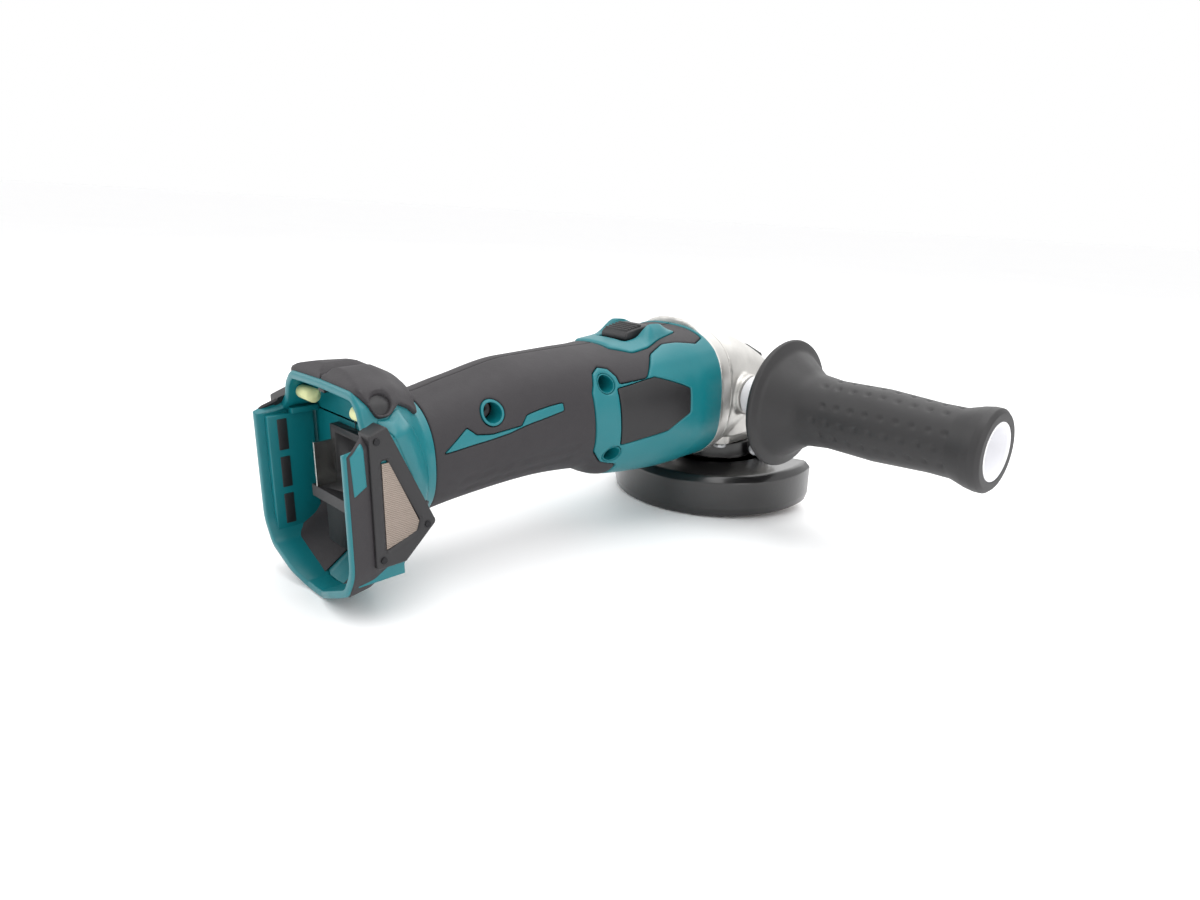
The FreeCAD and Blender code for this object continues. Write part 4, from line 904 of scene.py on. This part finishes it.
# Battery end: a shield-shaped rim that draws in to the neck
battery = {"arch": -245.6, "wing": -257.0, "floor": -231.0, "neck": -209.9, "wall": 3.4, "split": 79.0,
           "half": 39.5, "tip": 8.0, "top": 96.6, "squareness": 2.3}
b = battery
shieldEdge = [(0, 96.6, 0), (25.5, 96.0, 7), (30.6, 90.5, 5), (32.6, 84.2, 6), (39.4, 78.6, 1.6), (39.5, 50, 0),
              (39.4, 30, 16), (33.0, 19.5, 10), (15, 12.2, 6), (6.5, 8.4, 3), (0, 8.0, 0)]


def shieldOutline():                     # the rim's outline, with its length from the bottom
    ring = fillet(shieldEdge + [(-x, z, r) for x, z, r in reversed(shieldEdge[1:-1])], 2, 0.6)
    order = ring[np.argsort(np.arctan2(ring[:, 0], ring[:, 1] - 55))]
    run = np.concatenate([[0], np.cumsum(np.linalg.norm(np.diff(order, axis=0), axis=1))])
    return order, run


ringPoints, ringRun = shieldOutline()
ringLength = ringRun[-1]


def ringAt(s):
    return np.stack([np.interp(s, ringRun, ringPoints[:, 0]), np.interp(s, ringRun, ringPoints[:, 1])], 1)


ringSteps = 260
outerRing = ringAt(np.linspace(0, ringLength, ringSteps, endpoint=False) + ringLength / ringSteps / 2)


def rimAt(z):
    arch = smoothStep((z - b["split"] + 1.2) / 3.0)
    tip = smoothStep((14 - z) / 8)
    return b["wing"] + (b["arch"] - b["wing"]) * arch + 3.0 * tip


halfAt = {"y": [-258, -236, -226, -214, -209], "half": [39.5, 39.5, 34.5, 26.0, 24.3]}
topAt = {"y": [-258, -228, -221, -214, -209], "z": [96.8, 96.6, 93.0, 86.5, 85.2]}
lowAt = {"y": [-258, -247, -236, -222, -209], "z": [8.0, 10.0, 17.5, 27.5, 34.0]}


def drawIn(ring, y):                     # the shield at the rim turns into the neck's rounded section
    half = np.interp(y, halfAt["y"], halfAt["half"])
    top = np.interp(y, topAt["y"], topAt["z"])
    low = np.interp(y, lowAt["y"], lowAt["z"])
    x = ring[:, 0] * half / b["half"]
    z = low + (ring[:, 1] - b["tip"]) * (top - low) / (b["top"] - b["tip"])
    angle = np.arctan2(x / half, (z - (low + top) / 2) * 2 / (top - low))
    c, s = np.cos(angle), np.sin(angle)
    power = 2 / b["squareness"]
    ex = half * np.sign(s) * np.abs(s) ** power
    ez = (low + top) / 2 + (top - low) / 2 * np.sign(c) * np.abs(c) ** power
    w = smoothStep((y + 238) / 24)
    return x + (ex - x) * w, z + (ez - z) * w


def batteryShell():
    # rings from the neck out to the rim, over it, and down into the bay
    rings = []
    for t in np.linspace(1, 0, 26):
        base = rimAt(outerRing[:, 1])
        y = base + (b["neck"] - base) * t
        x, z = drawIn(outerRing, y)
        rings.append(np.stack([x, y + (0.9 if t == 0 else 0), z], 1))
    ccw = outerRing if signedArea(outerRing) > 0 else outerRing[::-1]
    flip = signedArea(outerRing) < 0

    def inset(d):
        ring = inward(ccw, d)
        return ring[::-1] if flip else ring
    for d, up in ((0.25, 0.35), (0.9, 0.0), (b["wall"] - 0.9, 0.0), (b["wall"] - 0.25, 0.3), (b["wall"], 0.9)):
        ring = inset(d)
        rings.append(np.stack([ring[:, 0], rimAt(outerRing[:, 1]) + up, ring[:, 1]], 1))
    inner = inset(b["wall"])
    for t in (0.25, 0.5, 0.75, 0.94):
        y = rimAt(outerRing[:, 1])
        rings.append(np.stack([inner[:, 0], y + 0.9 + (b["floor"] - y - 0.9) * t, inner[:, 1]], 1))
    inner = inset(b["wall"] + 0.8)
    rings.append(np.stack([inner[:, 0], np.full(len(inner), b["floor"]), inner[:, 1]], 1))
    return rings


def loftPiece(name, rings, body, slotName):
    n = len(rings[0])
    faces = [(i * n + p, i * n + (p + 1) % n, (i + 1) * n + (p + 1) % n, (i + 1) * n + p)
             for i in range(len(rings) - 1) for p in range(n)]
    faces += [tuple(reversed(range(n))), tuple((len(rings) - 1) * n + p for p in range(n))]
    return recalc(piece(name, np.concatenate(rings), faces, body, slotName, sharp=35))


loftPiece("batteryEnd", batteryShell(), "tool_body", "teal_plastic")


# Battery panels: laid on the shell by place along the tool and by length round the ring
def shellPoint(y, s):
    x, z = drawIn(ringAt(s), y)
    return np.stack([x, y, z], 1)


def onShell(y, s, rise):
    y, s = np.asarray(y, float), np.asarray(s, float)
    step, middle = 0.8, np.array([0, 0, 55.0])
    spot = shellPoint(y, s)
    along = shellPoint(y + step, s) - shellPoint(y - step, s)
    around = shellPoint(y, s + step) - shellPoint(y, s - step)
    out = np.cross(along, around)
    out /= np.linalg.norm(out, axis=1)[:, None]
    out *= np.sign((out * (spot - middle) * np.array([1, 0, 1])).sum(1))[:, None]
    return spot + out * np.asarray(rise)[:, None]


def ringSpot(y, z):                      # length round the ring of a point on the right flank
    s = np.linspace(ringLength * 0.5, ringLength, 500)
    levels = shellPoint(np.full(500, float(y)), s)[:, 2]
    return float(np.interp(z, levels[::-1], s[::-1]))


def onFlank(spots):                      # an outline given by (y, z, corner radius)
    return fillet([(y, ringSpot(y, z), r) for y, z, r in spots], 1.0, 1.0)


def taper(y, s, away):                   # the cap swells towards its middle and front
    across = np.abs(s - ringLength / 2)
    back = smoothStep((y + 216) / 4.0)
    return np.minimum(1.2 + 3.4 * (1 - smoothStep((across - 8) / 26.0)), 1.0 + away * 0.9) * (1 - 0.6 * back)


cap = {"top": ringLength / 2, "front": -244.6, "back": -213.0, "recess": (-236.3, 91.3), "hole": 4.3}
capMiddle = cap["top"] + 0.05
capSpots = [(cap["front"], capMiddle, 0), (cap["front"], ringSpot(cap["front"], 95.4), 5),
            (-242.4, ringSpot(-242.4, 92.3), 3), (-239.6, ringSpot(-239.6, 86.2), 3.5),
            (-234.0, ringSpot(-234.0, 86.4), 3), (-228.0, ringSpot(-228.0, 89.0), 4),
            (-215.5, ringSpot(-215.5, 81.0), 3), (cap["back"], ringSpot(cap["back"], 83.0), 1.5),
            (cap["back"], capMiddle, 0)]
capCentre = (cap["recess"][0], ringSpot(*cap["recess"]))
pair("rearCap", [fillet(capSpots, 1.0, 1.0), circle(*capCentre, cap["hole"])], nodeSlot["rear_cap_right"],
     "rear_cap", onShell, lift=0.4, depth=0.8, edge=0.9, spacing=1.6, gap=0.12, height=taper)
pair("capRecess", [circle(*capCentre, cap["hole"] + 0.8)], "black_plastic", None, onShell, lift=0.25, depth=0.6,
     edge=0.2, spacing=1.2, gap=0.0)

bandSpots = [(-256.2, 77.0, 0.8), (-247.2, 83.0, 0.8), (-247.6, 36.0, 1), (-236.0, 31.5, 2), (-221.0, 43.0, 2),
             (-216.5, 47.5, 1.5), (-213.4, 45.5, 1.5), (-214.0, 36.0, 3), (-222.0, 28.3, 2), (-236.0, 18.4, 2),
             (-247.0, 11.0, 2), (-252.8, 11.5, 2), (-256.2, 22.0, 6)]
pair("sideBand", [onFlank(bandSpots)], "grip_rubber", None, onShell, lift=0.55, depth=0.8, edge=0.5)
tileSpots = [(-255.3, 77.0, 0.6), (-249.5, 80.6, 0.6), (-249.1, 64.6, 0.6), (-254.6, 61.2, 0.6)]
pair("sideTile", [onFlank(tileSpots)], "teal_plastic", None, onShell, lift=0.85, depth=0.7, edge=0.4,
     spacing=1.5)
swooshSpots = [(-240.6, 86.4, 1.5), (-235.0, 86.0, 3), (-227.6, 88.2, 3), (-219.8, 74.0, 12), (-214.4, 56.0, 8),
               (-215.0, 48.6, 1.5), (-219.2, 46.0, 1.5), (-226.0, 58.0, 8), (-234.0, 76.0, 6)]


def crease(y, s, away):
    return 1.1 * smoothStep(away / 4.2)


pair("swoosh", [onFlank(swooshSpots)], "teal_plastic", None, onShell, lift=0.35, depth=0.7, edge=0.6,
     spacing=1.4, gap=0.1, height=crease)

filterFace = 39.5


def onPlane(y, z, rise):
    return np.stack([filterFace + rise, y, z], 1)


frameEdge = fillet([(-248.0, 83.4, 1.0), (-240.4, 86.0, 1.2), (-221.2, 44.2, 2.0), (-235.4, 31.2, 1.5),
                    (-248.0, 31.2, 1.2)], 1, 1)
meshHole = fillet([(-243.0, 73.0, 0.8), (-240.8, 73.0, 0.8), (-228.2, 46.2, 2.0), (-229.8, 42.6, 1.0),
                   (-243.0, 37.6, 0.8)], 1, 1)


def frameBack(top):                      # the frame's walls run in to the shell and stop inside its thickness
    y, z = top[:, 1], top[:, 2]
    x = np.interp(y, halfAt["y"], halfAt["half"]) - 1.3 - 0.9 * np.maximum(z - 78.0, 0)
    return np.stack([x, y, z], 1)


def framed(y, z, away):                  # a low step round the mesh
    hole = nearest(np.stack([y, z], 1), [meshHole])
    return -0.7 * (1 - smoothStep((hole - 0.5) / 0.8))


pair("filterFrame", [frameEdge, meshHole], nodeSlot["filter_frame_right"], "filter_frame", onPlane, lift=1.85,
     edge=0.7, spacing=1.1, gap=0.05, height=framed, sink=frameBack)
dressed("filter_rivets", "filterScrews", 32, metals["blackScrew"])
dressed("filter_meshes", "filterMeshes", 32)


# a row of like pieces: copies of one block, stepped along a line
def rowTree():
    tree = bpy.data.node_groups.new("stepRow", "GeometryNodeTree")
    face = tree.interface
    face.new_socket("Geometry", in_out="INPUT", socket_type="NodeSocketGeometry")
    for label, kind in (("Count", "NodeSocketInt"), ("Step", "NodeSocketVector"), ("Size", "NodeSocketVector"),
                        ("Start", "NodeSocketVector"), ("Finish", "NodeSocketMaterial")):
        face.new_socket(label, in_out="INPUT", socket_type=kind)
    face.new_socket("Geometry", in_out="OUTPUT", socket_type="NodeSocketGeometry")
    add = tree.nodes.new
    given, line, block = add("NodeGroupInput"), add("GeometryNodeMeshLine"), add("GeometryNodeMeshCube")
    copies, real, paint, result = (add("GeometryNodeInstanceOnPoints"), add("GeometryNodeRealizeInstances"),
                                   add("GeometryNodeSetMaterial"), add("NodeGroupOutput"))
    for source, out, target, into in (
            (given, "Count", line, "Count"), (given, "Step", line, "Offset"),
            (given, "Start", line, "Start Location"), (given, "Size", block, "Size"),
            (line, "Mesh", copies, "Points"), (block, "Mesh", copies, "Instance"),
            (copies, "Instances", real, "Geometry"), (real, "Geometry", paint, "Geometry"),
            (given, "Finish", paint, "Material"), (paint, "Geometry", result, "Geometry")):
        tree.links.new(source.outputs[out], target.inputs[into])
    return tree


stepRow = rowTree()


def row(name, count, start, step, size, slotName):
    made = bpy.data.objects.new(name, bpy.data.meshes.new(name))
    scene.collection.objects.link(made)
    rule = made.modifiers.new("row", "NODES")
    rule.node_group = stepRow
    given = {"Count": count, "Start": Vector(start) * mm, "Step": Vector(step) * mm, "Size": Vector(size) * mm,
             "Finish": slotFinish[slotName]}
    for item in stepRow.interface.items_tree:
        if item.in_out == "INPUT" and item.name in given:
            rule[item.identifier] = given[item.name]
    graph = bpy.context.evaluated_depsgraph_get()
    done = bpy.data.meshes.new_from_object(made.evaluated_get(graph))
    bpy.data.objects.remove(made)
    work = bmesh.new()
    work.from_mesh(done)
    bmesh.ops.bevel(work, geom=list(work.edges), offset=0.25 * mm, segments=2, profile=0.5, affect="EDGES",
                    clamp_overlap=True)
    bpy.data.meshes.remove(done)
    return wear(name, settled(work, name), "tool_body", slotName, (), None, 40)


bayRows = [  # name, count, first centre, step, block size
    # latch slots: thin black sheets on the bay floor, painted shade in place of open slots
    ("latchSlotShade", 2, (11.0, -231.3, 16.5), (0, 0, 4.6), (7.0, 0.9, 2.4)),
    ("archNotch", 1, (0, -242.6, 92.4), (1, 0, 0), (4.6, 4.0, 1.6)),
    ("bayWallSeam", 1, (0, -231.15, 80), (1, 0, 0), (0.35, 0.5, 14))]
for side, word in ((1, "Right"), (-1, "Left")):
    row("bayRail" + word, 1, (side * 34.6, -243.5, 50), (0, 0, 1), (3.4, 20, 52), "teal_plastic")
    row("bayRailStep" + word, 1, (side * 33.6, -237.5, 77.2), (0, 0, 1), (5.0, 12, 2.4), "teal_plastic")
    # rail slots: thin black sheets on the rails' inner faces, painted shade in place of open slots
    row("railSlots" + word, 3, (side * 32.85, -247.5, 34.5), (0, 0, 16.5), (0.5, 4.2, 13.5), "black_plastic")
for name, count, start, step, size in bayRows:
    row(name, count, start, step, size, "black_plastic")
print("battery panels made")


for node, name in (("battery_cushions", "cushions"), ("terminal_block", "terminalBlock"),
                   ("terminal_blades", "terminalBlades"), ("terminal_clips", "terminalClips"),
                   ("lock_nut", "lockNut"), ("inner_flange", "innerFlange"), ("spindle", "spindleShaft"),
                   ("guard_clamp_bolt", "guardClampBolt"), ("bearing_box", "bearingBox"),
                   ("bearing_box_screws", "bearingBoxScrews"), ("shaft_lock_button", "shaftLockButton"),
                   ("handle_stud", "handleStud"), ("housing_screws", "housingScrews"),
                   ("gear_housing_screws", "gearHousingScrews")):
    dressed(node, name, 32, metals["blackScrew"] if node == "housing_screws" else None)
print("small parts dressed")

# Floor, light and camera
stageLook = {"level": -56.9, "under": -3.05, "slope": -11.0 / 197.1, "far": 6.0}


def floorSheet():
    # a pale sheet that the guard's rim and the battery end stand on, running far behind
    verts, faces = [], []
    lines = [(-8.0, 0.0), (2.0, 0.0), (12.0, 0.0), (30.0, 0.0)]
    for along, rise in lines:
        for across in (-30.0, 30.0):
            verts.append((across, along, rise))
    for i in range(len(lines) - 1):
        faces.append((2 * i, 2 * i + 1, 2 * i + 3, 2 * i + 2))
    mesh = bpy.data.meshes.new("studioFloor")
    turn = math.radians(46.19)
    s = stageLook
    shaped = []
    for across, along, rise in verts:
        x = across * math.cos(turn) - along * math.sin(turn)
        y = across * math.sin(turn) + along * math.cos(turn)
        shaped.append((x, y, rise + s["under"] * mm + (y - s["level"] * mm) * s["slope"]))
    mesh.from_pydata(shaped, [], faces)
    mesh.polygons.foreach_set("use_smooth", [True] * len(mesh.polygons))
    f = Finish("floorPaper", Roughness=0.55)
    f.feed("Base Color", f.blend(shade(255, 255, 255), shade(252, 252, 253), f.noise(3.0, 2.0)))
    mesh.materials.append(f.material)
    made = bpy.data.objects.new("studioFloor", mesh)
    scene.collection.objects.link(made)
    return made


floorSheet()


def areaLight(name, place, target, size, power, tint=(1, 1, 1)):
    data = bpy.data.lights.new(name, "AREA")
    data.shape, data.size, data.size_y = "RECTANGLE", size[0], size[1]
    data.energy, data.color = power, tint
    made = bpy.data.objects.new(name, data)
    scene.collection.objects.link(made)
    made.location = place
    made.rotation_euler = (Vector(target) - Vector(place)).to_track_quat("-Z", "Y").to_euler()
    return made


middle = (0.02, -0.11, 0.05)
areaLight("overhead", (0.1, 0.1, 1.15), middle, (1.3, 1.0), 9)
areaLight("leftSoft", (-0.75, -0.75, 0.7), middle, (0.9, 0.9), 3.5)
areaLight("rightSoft", (1.1, -0.15, 0.6), middle, (0.8, 0.8), 3)
areaLight("backGlow", (-0.3, 1.1, 0.7), middle, (1.2, 0.6), 3)
world = bpy.data.worlds.new("studio")
scene.world = world
world.use_nodes = True
world.node_tree.nodes["Background"].inputs["Color"].default_value = (1, 1, 1, 1)
world.node_tree.nodes["Background"].inputs["Strength"].default_value = 1.0
scene.view_settings.view_transform = "Standard"

camera = bpy.data.objects.new("camera", bpy.data.cameras.new("camera"))
scene.collection.objects.link(camera)
camera.data.lens, camera.data.sensor_width = 25.89, 36.0
camera.data.clip_start, camera.data.clip_end = 0.02, 40.0
sideways = Vector((0.68845259, 0.72510634, 0.01593207)).normalized()
upwards = Vector((-0.2314087, 0.19878645, 0.95233081))
backwards = sideways.cross(upwards).normalized()
upwards = backwards.cross(sideways)
stand = (0.30965, -0.39131, 0.17383)
rows = [[sideways[i], upwards[i], backwards[i], stand[i]] for i in range(3)]
camera.matrix_world = Matrix(rows + [[0, 0, 0, 1]])
scene.camera = camera
print("stage set")
